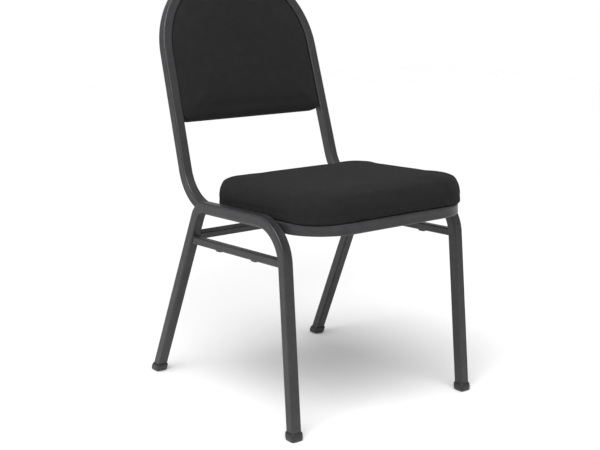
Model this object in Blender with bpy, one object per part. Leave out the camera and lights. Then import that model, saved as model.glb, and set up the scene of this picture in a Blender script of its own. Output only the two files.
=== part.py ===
"""Stacking chair: a welded square-tube steel frame with an upholstered seat and back.

Metres, +Z up. The origin is on the floor, at the centre of the chair's box. The chair
faces -Y. Left and right are the sitter's own, so left is +X.
"""
import math

import bmesh
import bpy
from mathutils import Matrix, Vector

# Shared
GAP = 0.0003                  # left between pieces that touch or are welded together
SLIVER = 0.0001               # keeps two faces from lying in one plane
OVERCUT = 0.0100              # how far a cutter runs on past what it cuts
TUBE = 0.0222                 # outside of the square frame tube
WALL = 0.0012                 # its wall
TUBE_CORNER = 0.0035          # its outer corner radius
THIN_TUBE = 0.0160            # outside of the square stretcher tube
THIN_WALL = 0.0010
THIN_CORNER = 0.0025
CORNER_CUT = 0.6              # share of a corner radius that the flat cut takes off
TIGHTEST = 0.002              # smallest radius left when an outline is moved inwards
SAME_POINT = 1e-5

# Leg frames: one upside-down U on each side, in a plane of constant X
LEG_X = 0.2243                # at the top rail
LEG_SPLAY = 0.0073            # how far each leg frame leans out, for each metre downwards
RAIL_Z = 0.4109               # height of the U's top rail at Y = 0
RAIL_SLOPE = -0.0354          # its rise for each metre towards the back
FRONT_KNEE_Y = -0.2230        # where the straight runs would meet, before bending
REAR_KNEE_Y = 0.0678
FRONT_FOOT_Y = -0.2600
REAR_FOOT_Y = 0.2510
FRONT_BEND = 0.080            # centre-line bend radii
REAR_BEND = 0.040
LEG_END_Z = 0.0060            # the tube ends here, inside its glide

# Floor glides: square cups pushed over the ends of the legs
GLIDE_SIDE = 0.0280
GLIDE_CORNER = 0.0060
GLIDE_TOP_Z = 0.0170
GLIDE_LIP = 0.0016            # inset of the top lip
GLIDE_LEVELS = ((0.0, 0.0040), (0.0030, 0.0010), (0.0080, 0.0), (0.0140, 0.0004),
                (GLIDE_TOP_Z, GLIDE_LIP))          # (height, inset)

# Stretchers and stacking bumpers
SIDE_STRETCHER_Z = 0.3355     # height at Y = 0
SIDE_STRETCHER_SLOPE = -0.0369
STRETCHER_SETBACK = 0.0014    # clears the start of the front bend
REAR_STRETCHER_Z = 0.3400
BUMPER_Y = {"front": -0.128, "rear": -0.003}
BUMPER_LENGTH = 0.020
BUMPER_WIDTH = 0.012
BUMPER_DEPTH = 0.0035
BUMPER_ROUND = 0.9            # corner radius as a share of the half width
BUMPER_EDGE = (0.0010, 0.0012)                     # (height, inset) of its bevelled edge

# Seat ring: the front rail and the lower ends of the back hoop, in one sloping plane
RING_FRONT_Y = -0.2960        # centre line of the front rail
RING_FRONT_Z = 0.4120
RING_TILT = math.radians(2.03)
RING_HALF_WIDTH = LEG_X - TUBE - GAP
RING_CORNER = 0.089
RING_BUTT_Y = 0.165           # the front rail meets the hoop's ends this far behind it

# Back hoop
HOOP_LEAN = math.radians(17.2)
HOOP_REF_Y = 0.1577           # where its middle plane crosses the height below
HOOP_REF_Z = 0.4500
HOOP_TOP_Z = 0.8910           # centre line at the crown
HOOP_TOP_HALF_WIDTH = 0.1912  # half width that the straight runs would reach at the crown
HOOP_LOWER_BEND = 0.100

# Seat pad, measured in the ring's plane from the middle of the front rail
SEAT_HALF_FRONT = 0.2105
SEAT_HALF_REAR = 0.2045
SEAT_FRONT_Y = -0.0060
SEAT_REAR_Y = 0.3595
SEAT_CORNERS = {"front": 0.075, "rear": 0.055}
SEAT_HEIGHT = 0.0610
SEAT_SIDE = ((0.0240, 0.0), (0.0110, 0.0035), (0.0050, 0.0130), (0.0, 0.0600))
                              # (depth below the top, inset) up the side and over the crown
SEAT_FOLD_RISE = 0.0060       # the side begins this far above the base
SEAT_FOLD_OUTER = 0.0040      # inset of the fold under the base, outer and inner skin
SEAT_FOLD_INNER = 0.0045
COVER = 0.0012                # upholstery fabric
SEAT_BOARD = 0.0110
SEAT_BOARD_INSET = 0.0060
SEAT_HEM = 0.0400             # how far the cover turns in under the board
DUST_SHEET = 0.0008
DUST_INSET = 0.0260

# Seat braces, screws and tee nuts
BRACE_WIDTH = 0.0300
BRACE_THICK = 0.0040
BRACE_Y = {"front": 0.1150, "rear": 0.2900}
SEAT_SCREW_X = 0.1200
SCREW_RADIUS = 0.0024
HEAD_RADIUS = 0.0055
HEAD_HEIGHT = 0.0032
HEAD_RIM = 0.6                # height of the head's rim, as a share of the head
HEAD_CAP = 0.8                # radius of its flat cap, as a share of the head
HOLE_CLEAR = 0.0008
TEE_BARREL = 0.0042
TEE_SHORT = 0.0010            # the barrel stops this far short of the board's underside
TEE_FLANGE = 0.0095
TEE_THICK = 0.0012

# Back pad, in the hoop's plane; depths are from the hoop's middle plane, to the front
PAD_BOTTOM_Z = 0.5685
PAD_CLEAR = 0.0006            # between the pad's edge and the hoop
PAD_CORNER = 0.0180
PAD_CROWN = 0.0230
PAD_EDGE = 0.0080             # where its rounded front edge begins
PAD_SIDE = ((0.0, 0.0), (0.0060, 0.0025), (0.0105, 0.0100))  # (rise, inset) from there
PAD_FLAT = 0.0500             # inset at which the front is level
BACK_BOARD = (-0.0060, 0.0020)
REAR_PANEL = (-0.0123, -0.0093)
BACK_HEM = 0.0300

# Back tabs and their screws
TAB_HEIGHTS = {"lower": 0.0350, "upper": 0.1200}
TAB_WIDTH = 0.0220
TAB_REACH = 0.0280
TAB_THICK = 0.0020
BACK_SCREW_IN = 0.0180        # from the hoop to the screw
BACK_SCREW_RADIUS = 0.0018
BACK_HEAD_RADIUS = 0.0040
BACK_HEAD_HEIGHT = 0.0020
BACK_HEAD_RIM = 0.5
BACK_TIP_SHORT = 0.0010       # the screw stops this far inside the board's front
NOTCH_CLEAR = 0.0010          # round each tab, where the rear panel is notched for it
NOTCH_EXTRA = 0.0040          # how much longer a notch is than its tab

# Facets
BEND_STEPS = 8
DOME_STEPS = 12
PAD_STEPS = 6
BACK_CORNER_STEPS = 4
GLIDE_STEPS = 3
BUMPER_STEPS = 4
TURNED_STEPS = 12
HARD_ANGLE = 30               # edges sharper than this stay crisp
SOFT_ANGLE = 40


def material(name, colour, roughness, metallic=0.0):
    mat = bpy.data.materials.new(name)
    mat.use_nodes = True
    shader = mat.node_tree.nodes["Principled BSDF"]
    shader.inputs["Base Color"].default_value = (*colour, 1.0)
    shader.inputs["Roughness"].default_value = roughness
    shader.inputs["Metallic"].default_value = metallic
    mat.diffuse_color = (*colour, 1.0)
    return mat


def add_object(name, mesh_data, mat, place=None, smooth=None):
    """Make one object from a bmesh, with its faces pointing out."""
    bmesh.ops.recalc_face_normals(mesh_data, faces=mesh_data.faces[:])
    if place is not None:
        mesh_data.transform(place)
    mesh = bpy.data.meshes.new(name)
    mesh_data.to_mesh(mesh)
    mesh_data.free()
    mesh.materials.append(mat)
    if smooth is not None:
        mesh.shade_smooth()
        mesh.set_sharp_from_angle(angle=math.radians(smooth))
    obj = bpy.data.objects.new(name, mesh)
    bpy.context.scene.collection.objects.link(obj)
    return obj


def rounded_path(corners, radii, steps, closed=False):
    """Replace each corner of a run of points by a tangent arc."""
    count = len(corners)
    points = [] if closed else [Vector(corners[0])]
    first, last = (0, count) if closed else (1, count - 1)
    for index in range(first, last):
        here = Vector(corners[index])
        back = (Vector(corners[index - 1]) - here).normalized()
        ahead = (Vector(corners[(index + 1) % count]) - here).normalized()
        half = back.angle(ahead) / 2.0
        centre = here + (back + ahead).normalized() * radii[index] / math.sin(half)
        start = here + back * radii[index] / math.tan(half) - centre
        axis = back.cross(ahead).normalized()
        sweep = -(math.pi - 2.0 * half)
        for step in range(steps[index] + 1):
            turn = Matrix.Rotation(sweep * step / steps[index], 3, axis)
            points.append(centre + turn @ start)
    if not closed:
        points.append(Vector(corners[-1]))
    merged = [points[0]]
    for point in points[1:]:
        if (point - merged[-1]).length > SAME_POINT:
            merged.append(point)
    return merged


def square_outline(side, corner):
    """A square whose corners are cut to suggest their rounding: eight points."""
    half = side / 2.0
    cut = half - corner * CORNER_CUT
    return [(half, -cut), (half, cut), (cut, half), (-cut, half),
            (-half, cut), (-half, -cut), (-cut, -half), (cut, -half)]


def square_tube(path, across, side, wall, corner, cuts=(None, None)):
    """Sweep an open-ended square tube along a path.

    across is the direction of the section's first axis at the middle of the path; towards
    both ends the section turns only as the path bends. cuts are a plane for each end, as
    (point, normal).
    """
    outlines = [square_outline(side, corner), square_outline(side - 2 * wall, corner - wall)]
    tangents = []
    for index, point in enumerate(path):
        before = path[max(index - 1, 0)]
        after = path[min(index + 1, len(path) - 1)]
        if 0 < index < len(path) - 1:
            tangent = (point - before).normalized() + (after - point).normalized()
        else:
            tangent = after - before
        tangents.append(tangent.normalized())
    middle = len(path) // 2
    axes = {middle: Vector(across)}
    for index in range(middle + 1, len(path)):
        axes[index] = tangents[index - 1].rotation_difference(tangents[index]) @ axes[index - 1]
    for index in range(middle - 1, -1, -1):
        axes[index] = tangents[index + 1].rotation_difference(tangents[index]) @ axes[index + 1]
    tube = bmesh.new()
    rings = [[], []]
    for index, (point, tangent) in enumerate(zip(path, tangents)):
        axis_a = (axes[index] - tangent * axes[index].dot(tangent)).normalized()
        axis_b = tangent.cross(axis_a)
        cut = cuts[0] if index == 0 else cuts[1] if index == len(path) - 1 else None
        for outline, ring in zip(outlines, rings):
            loop = []
            for a, b in outline:
                spot = point + axis_a * a + axis_b * b
                if cut is not None:
                    where, normal = Vector(cut[0]), Vector(cut[1])
                    spot += tangent * ((where - spot).dot(normal) / tangent.dot(normal))
                loop.append(tube.verts.new(spot))
            ring.append(loop)
    sides = len(outlines[0])
    for index in range(len(path) - 1):
        for outer in (0, 1):
            here, after = rings[outer][index], rings[outer][index + 1]
            for k in range(sides):
                m = (k + 1) % sides
                tube.faces.new((here[k], here[m], after[m], after[k]))
    for end in (0, -1):
        outer, inner = rings[0][end], rings[1][end]
        for k in range(sides):
            m = (k + 1) % sides
            tube.faces.new((outer[k], outer[m], inner[m], inner[k]))
    return tube


def inset_outline(corners, radii, inset, steps):
    """A closed rounded outline in XY, moved inwards by inset."""
    count = len(corners)
    moved = []
    for index in range(count):
        here = Vector(corners[index])
        along_in = (here - Vector(corners[index - 1])).normalized()
        along_out = (Vector(corners[(index + 1) % count]) - here).normalized()
        normal_in = Vector((-along_in.y, along_in.x))
        normal_out = Vector((-along_out.y, along_out.x))
        shift = (normal_in + normal_out) / (1.0 + normal_in.dot(normal_out))
        moved.append((here + shift * inset).to_3d())
    tight = [max(radius - inset, TIGHTEST) for radius in radii]
    return rounded_path(moved, tight, steps, closed=True)


def stack(mesh_data, corners, radii, steps, levels, cap_end=True):
    """Bridge outlines at the given (height, inset) levels and close the last one."""
    loops = []
    for height, inset in levels:
        points = inset_outline(corners, radii, inset, steps)
        loops.append([mesh_data.verts.new((p.x, p.y, height)) for p in points])
    for here, after in zip(loops, loops[1:]):
        for k in range(len(here)):
            m = (k + 1) % len(here)
            mesh_data.faces.new((here[k], here[m], after[m], after[k]))
    if cap_end:
        mesh_data.faces.new(loops[-1])
    return loops


def slab(corners, radii, steps, levels):
    """A closed solid made of stacked outlines, capped at both ends."""
    solid = bmesh.new()
    loops = stack(solid, corners, radii, steps, levels)
    solid.faces.new(list(reversed(loops[0])))
    return solid


def wrapped_cover(corners, radii, steps, outer_levels, inner_levels):
    """A fabric shell: an outer and an inner skin that meet along the hem."""
    shell = bmesh.new()
    outer = stack(shell, corners, radii, steps, outer_levels)[0]
    inner = stack(shell, corners, radii, steps, inner_levels)[0]
    for k in range(len(outer)):
        m = (k + 1) % len(outer)
        shell.faces.new((outer[k], outer[m], inner[m], inner[k]))
    return shell


def box(size, centre):
    solid = bmesh.new()
    bmesh.ops.create_cube(solid, size=1.0)
    solid.transform(Matrix.Translation(centre) @ Matrix.Diagonal((*size, 1.0)))
    return solid


def turned(profile, steps):
    """A solid of revolution about Z from (radius, height) points, bottom to top."""
    solid = bmesh.new()
    loops = []
    for radius, height in profile:
        loops.append([solid.verts.new((radius * math.cos(2 * math.pi * k / steps),
                                       radius * math.sin(2 * math.pi * k / steps), height))
                      for k in range(steps)])
    for here, after in zip(loops, loops[1:]):
        for k in range(steps):
            m = (k + 1) % steps
            solid.faces.new((here[k], here[m], after[m], after[k]))
    solid.faces.new(list(reversed(loops[0])))
    solid.faces.new(loops[-1])
    return solid


def turned_ring(profile, bore, steps):
    """A solid of revolution about Z with a straight bore right through it."""
    closed = [*profile, (bore, profile[-1][1]), (bore, profile[0][1])]
    solid = bmesh.new()
    loops = []
    for radius, height in closed:
        loops.append([solid.verts.new((radius * math.cos(2 * math.pi * k / steps),
                                       radius * math.sin(2 * math.pi * k / steps), height))
                      for k in range(steps)])
    for here, after in zip(loops, loops[1:] + loops[:1]):
        for k in range(steps):
            m = (k + 1) % steps
            solid.faces.new((here[k], here[m], after[m], after[k]))
    return solid


def add_cutter(name, mesh_data, place):
    """A hidden object that cuts holes and notches."""
    cutter = add_object(name, mesh_data, STEEL, place)
    cutter.hide_render = True
    cutter.display_type = "WIRE"
    return cutter


def cut_with(target, cutter):
    modifier = target.modifiers.new(cutter.name, "BOOLEAN")
    modifier.operation = "DIFFERENCE"
    modifier.object = cutter


for existing in list(bpy.data.objects):
    bpy.data.objects.remove(existing, do_unlink=True)

STEEL = material("steel_charcoal", (0.045, 0.044, 0.048), 0.42, 0.3)
FABRIC = material("fabric_black", (0.012, 0.012, 0.013), 0.95)
FOAM = material("foam_grey", (0.35, 0.35, 0.33), 0.9)
PLYWOOD = material("plywood", (0.45, 0.30, 0.17), 0.75)
HARDBOARD = material("hardboard", (0.20, 0.12, 0.07), 0.8)
NYLON = material("nylon_black", (0.015, 0.015, 0.015), 0.5)
ZINC = material("zinc_plate", (0.55, 0.56, 0.58), 0.35, 1.0)
DUST_CLOTH = material("dust_cloth", (0.02, 0.02, 0.02), 1.0)

SIDES = {"left": 1, "right": -1}
RING_PLACE = (Matrix.Translation((0.0, RING_FRONT_Y, RING_FRONT_Z))
              @ Matrix.Rotation(-RING_TILT, 4, "X"))
HOOP_UP = Vector((0.0, math.sin(HOOP_LEAN), math.cos(HOOP_LEAN)))
HOOP_REF = Vector((0.0, HOOP_REF_Y, HOOP_REF_Z))


def rail_height(y):
    return RAIL_Z + RAIL_SLOPE * y


def on_hoop(x, z):
    """The point of the hoop's middle plane at a width and a height."""
    return HOOP_REF + HOOP_UP * ((z - HOOP_REF_Z) / HOOP_UP.z) + Vector((x, 0.0, 0.0))


# Leg frames and their glides
front_knee = Vector((0.0, FRONT_KNEE_Y, rail_height(FRONT_KNEE_Y)))
rear_knee = Vector((0.0, REAR_KNEE_Y, rail_height(REAR_KNEE_Y)))
feet = {"front": (Vector((0.0, FRONT_FOOT_Y, 0.0)), front_knee),
        "rear": (Vector((0.0, REAR_FOOT_Y, 0.0)), rear_knee)}


def leg_point(end, z):
    foot, knee = feet[end]
    return foot + (knee - foot) * (z / knee.z)


def splayed(sign):
    """Lean a leg frame outwards, about its top rail."""
    lean = Matrix.Identity(4)
    lean[0][2] = -sign * LEG_SPLAY
    lean[0][3] = sign * LEG_SPLAY * RAIL_Z
    return lean


def sheared(lean):
    """Slide upwards levels along Y, as a leaning leg does."""
    shear = Matrix.Identity(4)
    shear[1][2] = lean
    return shear


for side, sign in SIDES.items():
    shift = Vector((sign * LEG_X, 0.0, 0.0))
    corners = [leg_point("front", LEG_END_Z), front_knee, rear_knee,
               leg_point("rear", LEG_END_Z)]
    path = rounded_path([c + shift for c in corners], [0, FRONT_BEND, REAR_BEND, 0],
                        [0, BEND_STEPS, BEND_STEPS, 0])
    floor_cut = ((0.0, 0.0, LEG_END_Z), (0.0, 0.0, 1.0))
    leg = square_tube(path, (1, 0, 0), TUBE, WALL, TUBE_CORNER, (floor_cut, floor_cut))
    add_object(f"leg_frame_{side}", leg, STEEL, splayed(sign))
    for end, (foot, knee) in feet.items():
        lean = (knee.y - foot.y) / knee.z
        half_x = GLIDE_SIDE / 2
        half_y = half_x * math.sqrt(1.0 + lean * lean)
        corners = [(-half_x, -half_y), (half_x, -half_y), (half_x, half_y), (-half_x, half_y)]
        wall = half_x - TUBE / 2 - GAP
        levels = [*GLIDE_LEVELS, (GLIDE_TOP_Z, wall), (LEG_END_Z - GAP, wall)]
        glide = slab(corners, [GLIDE_CORNER] * 4, [GLIDE_STEPS] * 4, levels)
        glide.transform(sheared(lean))
        place = splayed(sign) @ Matrix.Translation(foot + shift)
        add_object(f"glide_{end}_{side}", glide, NYLON, place, HARD_ANGLE)


def leg_face(end, inward):
    """Plane of the leg's face that looks along Y towards the other leg."""
    foot, knee = feet[end]
    along = (knee - foot).normalized()
    normal = Vector((0.0, along.z, -along.y)) * inward
    return foot + normal * (TUBE / 2 + STRETCHER_SETBACK), normal


# Side stretchers between the legs of each frame, with bumpers that a stacked chair rests on
stretcher_tilt = Matrix.Rotation(math.atan(SIDE_STRETCHER_SLOPE), 4, "X")
for side, sign in SIDES.items():
    shift = Vector((sign * LEG_X, 0.0, 0.0))
    faces = [leg_face("front", 1), leg_face("rear", -1)]
    ends = [Vector((0.0, y, SIDE_STRETCHER_Z + SIDE_STRETCHER_SLOPE * y))
            for y in (FRONT_KNEE_Y, REAR_KNEE_Y)]
    path = [end + shift for end in ends]
    stretcher = square_tube(path, (1, 0, 0), THIN_TUBE, THIN_WALL, THIN_CORNER, faces)
    add_object(f"side_stretcher_{side}", stretcher, STEEL, splayed(sign))
    for end, y in BUMPER_Y.items():
        half_x, half_y = BUMPER_WIDTH / 2, BUMPER_LENGTH / 2
        corners = [(-half_x, -half_y), (half_x, -half_y), (half_x, half_y), (-half_x, half_y)]
        under = -THIN_TUBE / 2 - GAP
        edge_height, edge_inset = BUMPER_EDGE
        bumper = slab(corners, [half_x * BUMPER_ROUND] * 4, [BUMPER_STEPS] * 4,
                      [(under - BUMPER_DEPTH, edge_inset),
                       (under - BUMPER_DEPTH + edge_height, 0.0), (under, 0.0)])
        middle = Matrix.Translation((sign * LEG_X, y, SIDE_STRETCHER_Z
                                     + SIDE_STRETCHER_SLOPE * y))
        add_object(f"stack_bumper_{end}_{side}", bumper, NYLON,
                   splayed(sign) @ middle @ stretcher_tilt, HARD_ANGLE)

# Rear stretcher between the two rear legs
inner_x = LEG_X + LEG_SPLAY * (RAIL_Z - REAR_STRETCHER_Z) - TUBE / 2 - 2 * GAP
rear_point = leg_point("rear", REAR_STRETCHER_Z)
foot, knee = feet["rear"]
leg_along = (knee - foot).normalized()
path = [rear_point + Vector((x, 0.0, 0.0)) for x in (-inner_x, inner_x)]
add_object("rear_stretcher",
           square_tube(path, leg_along, THIN_TUBE, THIN_WALL, THIN_CORNER), STEEL)

# Seat ring and back hoop
ring_butt = [RING_PLACE @ Vector((s * RING_HALF_WIDTH, RING_BUTT_Y - GAP, 0.0))
             for s in (-1, 1)]
ring_corners = [RING_PLACE @ Vector((s * RING_HALF_WIDTH, 0.0, 0.0)) for s in (-1, 1)]
path = rounded_path([ring_butt[0], ring_corners[0], ring_corners[1], ring_butt[1]],
                    [0, RING_CORNER, RING_CORNER, 0], [0, BEND_STEPS, BEND_STEPS, 0])
ring_up = RING_PLACE.to_3x3() @ Vector((0.0, 0.0, 1.0))
add_object("seat_front_rail",
           square_tube(path, ring_up, TUBE, WALL, TUBE_CORNER), STEEL)

reach = (RING_PLACE.translation - HOOP_REF).dot(ring_up) / HOOP_UP.dot(ring_up)
lower = HOOP_REF + HOOP_UP * reach
crown = on_hoop(0.0, HOOP_TOP_Z)
turn = math.atan2((crown - lower).length, RING_HALF_WIDTH - HOOP_TOP_HALF_WIDTH)
dome_radius = HOOP_TOP_HALF_WIDTH * math.tan(turn / 2.0)
hoop_corners = [RING_PLACE @ Vector((-RING_HALF_WIDTH, RING_BUTT_Y, 0.0)),
                lower - Vector((RING_HALF_WIDTH, 0.0, 0.0)),
                crown - Vector((HOOP_TOP_HALF_WIDTH, 0.0, 0.0)),
                crown + Vector((HOOP_TOP_HALF_WIDTH, 0.0, 0.0)),
                lower + Vector((RING_HALF_WIDTH, 0.0, 0.0)),
                RING_PLACE @ Vector((RING_HALF_WIDTH, RING_BUTT_Y, 0.0))]
path = rounded_path(hoop_corners,
                    [0, HOOP_LOWER_BEND, dome_radius, dome_radius, HOOP_LOWER_BEND, 0],
                    [0, BEND_STEPS, DOME_STEPS, DOME_STEPS, BEND_STEPS, 0])
hoop_normal = HOOP_UP.cross(Vector((1.0, 0.0, 0.0)))
add_object("back_hoop", square_tube(path, hoop_normal, TUBE, WALL, TUBE_CORNER), STEEL)

# Seat pad: plywood board, foam and a cover stapled under the board
seat_corners = [(-SEAT_HALF_FRONT, SEAT_FRONT_Y), (SEAT_HALF_FRONT, SEAT_FRONT_Y),
                (SEAT_HALF_REAR, SEAT_REAR_Y), (-SEAT_HALF_REAR, SEAT_REAR_Y)]
seat_radii = [SEAT_CORNERS["front"]] * 2 + [SEAT_CORNERS["rear"]] * 2
pad_steps = [PAD_STEPS] * 4
SEAT_BASE = TUBE / 2 + GAP
SEAT_TOP = SEAT_BASE + SEAT_HEIGHT


def seat_side(skin):
    """(height, inset) up the seat pad's side and over its crown, skin inside the cover."""
    edge, shoulder, brow, flat = SEAT_SIDE
    return [(SEAT_TOP - edge[0], edge[1] + skin), (SEAT_TOP - shoulder[0], shoulder[1] + skin),
            (SEAT_TOP - brow[0] - skin, brow[1] + skin), (SEAT_TOP - flat[0] - skin, flat[1])]


outer = [(SEAT_BASE, SEAT_HEM), (SEAT_BASE, SEAT_FOLD_OUTER),
         (SEAT_BASE + SEAT_FOLD_RISE, 0.0), *seat_side(0.0)]
inner = [(SEAT_BASE + COVER, SEAT_HEM), (SEAT_BASE + COVER, SEAT_FOLD_INNER),
         (SEAT_BASE + SEAT_FOLD_RISE, COVER), *seat_side(COVER)]
add_object("seat_cover", wrapped_cover(seat_corners, seat_radii, pad_steps, outer, inner),
           FABRIC, RING_PLACE, SOFT_ANGLE)

board_low = SEAT_BASE + COVER + GAP
board_high = board_low + SEAT_BOARD
board = slab(seat_corners, seat_radii, pad_steps,
             [(board_low, SEAT_BOARD_INSET), (board_high, SEAT_BOARD_INSET)])
board = add_object("seat_board", board, PLYWOOD, RING_PLACE)

skin = COVER + GAP
foam = slab(seat_corners, seat_radii, pad_steps, [(board_high + GAP, skin), *seat_side(skin)])
add_object("seat_foam", foam, FOAM, RING_PLACE, SOFT_ANGLE)

dust = slab(seat_corners, seat_radii, pad_steps,
            [(SEAT_BASE - GAP - DUST_SHEET, DUST_INSET), (SEAT_BASE - GAP, DUST_INSET)])
dust = add_object("seat_dust_sheet", dust, DUST_CLOTH, RING_PLACE)

# Seat braces: flat bars welded across the ring, with a screw at each end
brace_top = SEAT_BASE - 2 * GAP - DUST_SHEET
brace_low = brace_top - BRACE_THICK
brace_length = 2 * (RING_HALF_WIDTH - TUBE / 2 - GAP)
screw_low = brace_low - GAP
nut_high = board_high - SLIVER
nut_profile = [(TEE_BARREL, board_low + TEE_SHORT), (TEE_BARREL, nut_high - TEE_THICK),
               (TEE_FLANGE, nut_high - TEE_THICK), (TEE_FLANGE, nut_high)]
screw_profile = [(HEAD_RADIUS * HEAD_CAP, screw_low - HEAD_HEIGHT),
                 (HEAD_RADIUS, screw_low - HEAD_HEIGHT * HEAD_RIM), (HEAD_RADIUS, screw_low),
                 (SCREW_RADIUS, screw_low), (SCREW_RADIUS, nut_high)]
for end, y in BRACE_Y.items():
    brace = box((brace_length, BRACE_WIDTH, BRACE_THICK), (0.0, y, brace_low + BRACE_THICK / 2))
    brace = add_object(f"seat_brace_{end}", brace, STEEL, RING_PLACE)
    for side, sign in SIDES.items():
        place = RING_PLACE @ Matrix.Translation((sign * SEAT_SCREW_X, y, 0.0))
        screw = turned(screw_profile, TURNED_STEPS)
        add_object(f"seat_screw_{end}_{side}", screw, ZINC, place, HARD_ANGLE)
        nut = turned_ring(nut_profile, SCREW_RADIUS + GAP, TURNED_STEPS)
        add_object(f"seat_tee_nut_{end}_{side}", nut, ZINC, place, HARD_ANGLE)
        hole = turned([(SCREW_RADIUS + HOLE_CLEAR, brace_low - OVERCUT),
                       (SCREW_RADIUS + HOLE_CLEAR, board_low - GAP)], TURNED_STEPS)
        hole = add_cutter(f"cutter_brace_{end}_{side}", hole, place)
        pocket = turned([(TEE_BARREL + GAP, board_low - OVERCUT),
                         (TEE_BARREL + GAP, nut_high - TEE_THICK - GAP),
                         (TEE_FLANGE + GAP, nut_high - TEE_THICK - GAP),
                         (TEE_FLANGE + GAP, board_high + OVERCUT)], TURNED_STEPS)
        pocket = add_cutter(f"cutter_board_{end}_{side}", pocket, place)
        cut_with(brace, hole)
        cut_with(dust, hole)
        cut_with(board, pocket)

# Back pad inside the hoop: a front cushion on a board, and a rear panel that hides the board.
# Its own frame has X across, Y up the hoop's plane from the pad's bottom, and Z to the front.
pad_foot = on_hoop(0.0, PAD_BOTTOM_Z)
PAD_PLACE = Matrix.Translation(pad_foot) @ Matrix.Rotation(math.pi / 2 - HOOP_LEAN, 4, "X")
taper = (RING_HALF_WIDTH - HOOP_TOP_HALF_WIDTH) / (crown - lower).length
pad_height = (crown - pad_foot).length
inside = TUBE / 2 + PAD_CLEAR
low_half = HOOP_TOP_HALF_WIDTH + taper * (pad_height + inside)
pad_corners = [(-low_half, -inside), (low_half, -inside),
               (HOOP_TOP_HALF_WIDTH, pad_height), (-HOOP_TOP_HALF_WIDTH, pad_height)]
pad_radii = [PAD_CORNER + inside] * 2 + [dome_radius - GAP] * 2
back_steps = [BACK_CORNER_STEPS, BACK_CORNER_STEPS, DOME_STEPS, DOME_STEPS]


def within_hoop(levels):
    """Move (depth, inset) levels in from the hoop's centre line to the pad's edge."""
    return [(depth, inset + inside) for depth, inset in levels]


def back_slab(levels):
    return slab(pad_corners, pad_radii, back_steps, within_hoop(levels))


def back_wrap(outer, inner):
    return wrapped_cover(pad_corners, pad_radii, back_steps,
                         within_hoop(outer), within_hoop(inner))


def back_side(skin):
    """(depth, inset) over the back pad's crown, skin inside the cover."""
    return [*((PAD_EDGE + rise, inset + skin) for rise, inset in PAD_SIDE),
            (PAD_CROWN - skin, PAD_FLAT)]


board_rear, board_front = BACK_BOARD
hem = board_rear - GAP
hem_rear = hem - COVER
front_cover = back_wrap([(hem_rear, BACK_HEM), (hem_rear, COVER), (hem, 0.0), *back_side(0.0)],
                        [(hem, BACK_HEM), (hem, COVER), *back_side(COVER)])
front_cover = add_object("back_front_cover", front_cover, FABRIC, PAD_PLACE, SOFT_ANGLE)
back_board = add_object("back_board", back_slab([(board_rear, skin), (board_front, skin)]),
                        PLYWOOD, PAD_PLACE)
add_object("back_foam", back_slab([(board_front + GAP, skin), *back_side(skin)]),
           FOAM, PAD_PLACE, SOFT_ANGLE)

panel_rear, panel_front = REAR_PANEL
rear_panel = add_object("back_rear_panel", back_slab([(panel_rear, skin), (panel_front, skin)]),
                        HARDBOARD, PAD_PLACE)
hem_front = panel_front + GAP + COVER
skin_rear = panel_rear - GAP
rear_cover = back_wrap([(hem_front, BACK_HEM), (hem_front, 0.0), (skin_rear, 0.0),
                        (skin_rear - COVER, COVER)],
                       [(hem_front - COVER, BACK_HEM), (hem_front - COVER, COVER),
                        (skin_rear, COVER)])
rear_cover = add_object("back_rear_cover", rear_cover, FABRIC, PAD_PLACE, SOFT_ANGLE)

# Back tabs: steel plates welded inside the hoop and screwed to the board from behind
tab_front = hem_rear - GAP
tab_rear = tab_front - TAB_THICK
head_front = tab_rear - GAP
screw_tip = board_front - BACK_TIP_SHORT
screw_profile = [(BACK_HEAD_RADIUS * HEAD_CAP, head_front - BACK_HEAD_HEIGHT),
                 (BACK_HEAD_RADIUS, head_front - BACK_HEAD_HEIGHT * BACK_HEAD_RIM),
                 (BACK_HEAD_RADIUS, head_front), (BACK_SCREW_RADIUS, head_front),
                 (BACK_SCREW_RADIUS, screw_tip)]
for level, height in TAB_HEIGHTS.items():
    narrowest = HOOP_TOP_HALF_WIDTH + taper * (pad_height - height - TAB_WIDTH / 2)
    hoop_inside = narrowest - TUBE / 2 - GAP
    for side, sign in SIDES.items():
        name = f"{level}_{side}"
        middle = (sign * (hoop_inside - TAB_REACH / 2), height, (tab_front + tab_rear) / 2)
        tab = box((TAB_REACH, TAB_WIDTH, TAB_THICK), middle)
        tab = add_object(f"back_tab_{name}", tab, STEEL, PAD_PLACE)
        spot = (sign * (hoop_inside - BACK_SCREW_IN), height, 0.0)
        place = PAD_PLACE @ Matrix.Translation(spot)
        screw = turned(screw_profile, TURNED_STEPS)
        add_object(f"back_screw_{name}", screw, ZINC, place, HARD_ANGLE)
        hole = turned([(BACK_SCREW_RADIUS + GAP, head_front - SLIVER),
                       (BACK_SCREW_RADIUS + GAP, screw_tip + GAP)], TURNED_STEPS)
        hole = add_cutter(f"cutter_tab_{name}", hole, place)
        notch_rear = skin_rear + SLIVER
        notch_front = hem_front + NOTCH_CLEAR
        notch = box((TAB_REACH + NOTCH_EXTRA, TAB_WIDTH + 2 * NOTCH_CLEAR,
                     notch_front - notch_rear),
                    (middle[0] + sign * NOTCH_CLEAR, height, (notch_front + notch_rear) / 2))
        notch = add_cutter(f"cutter_notch_{name}", notch, PAD_PLACE)
        for target in (tab, front_cover, back_board):
            cut_with(target, hole)
        for target in (rear_panel, rear_cover):
            cut_with(target, notch)
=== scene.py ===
"""Stacking chair: square-tube steel frame, padded seat and dome-shaped padded back.

Metres, +Z up. The chair faces -Y; left and right are the sitter's own, so left is +X.
The sections follow the order in which the chair is put together.
"""
import math

import bmesh
import bpy
from mathutils import Matrix, Vector
from mathutils.kdtree import KDTree


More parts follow.
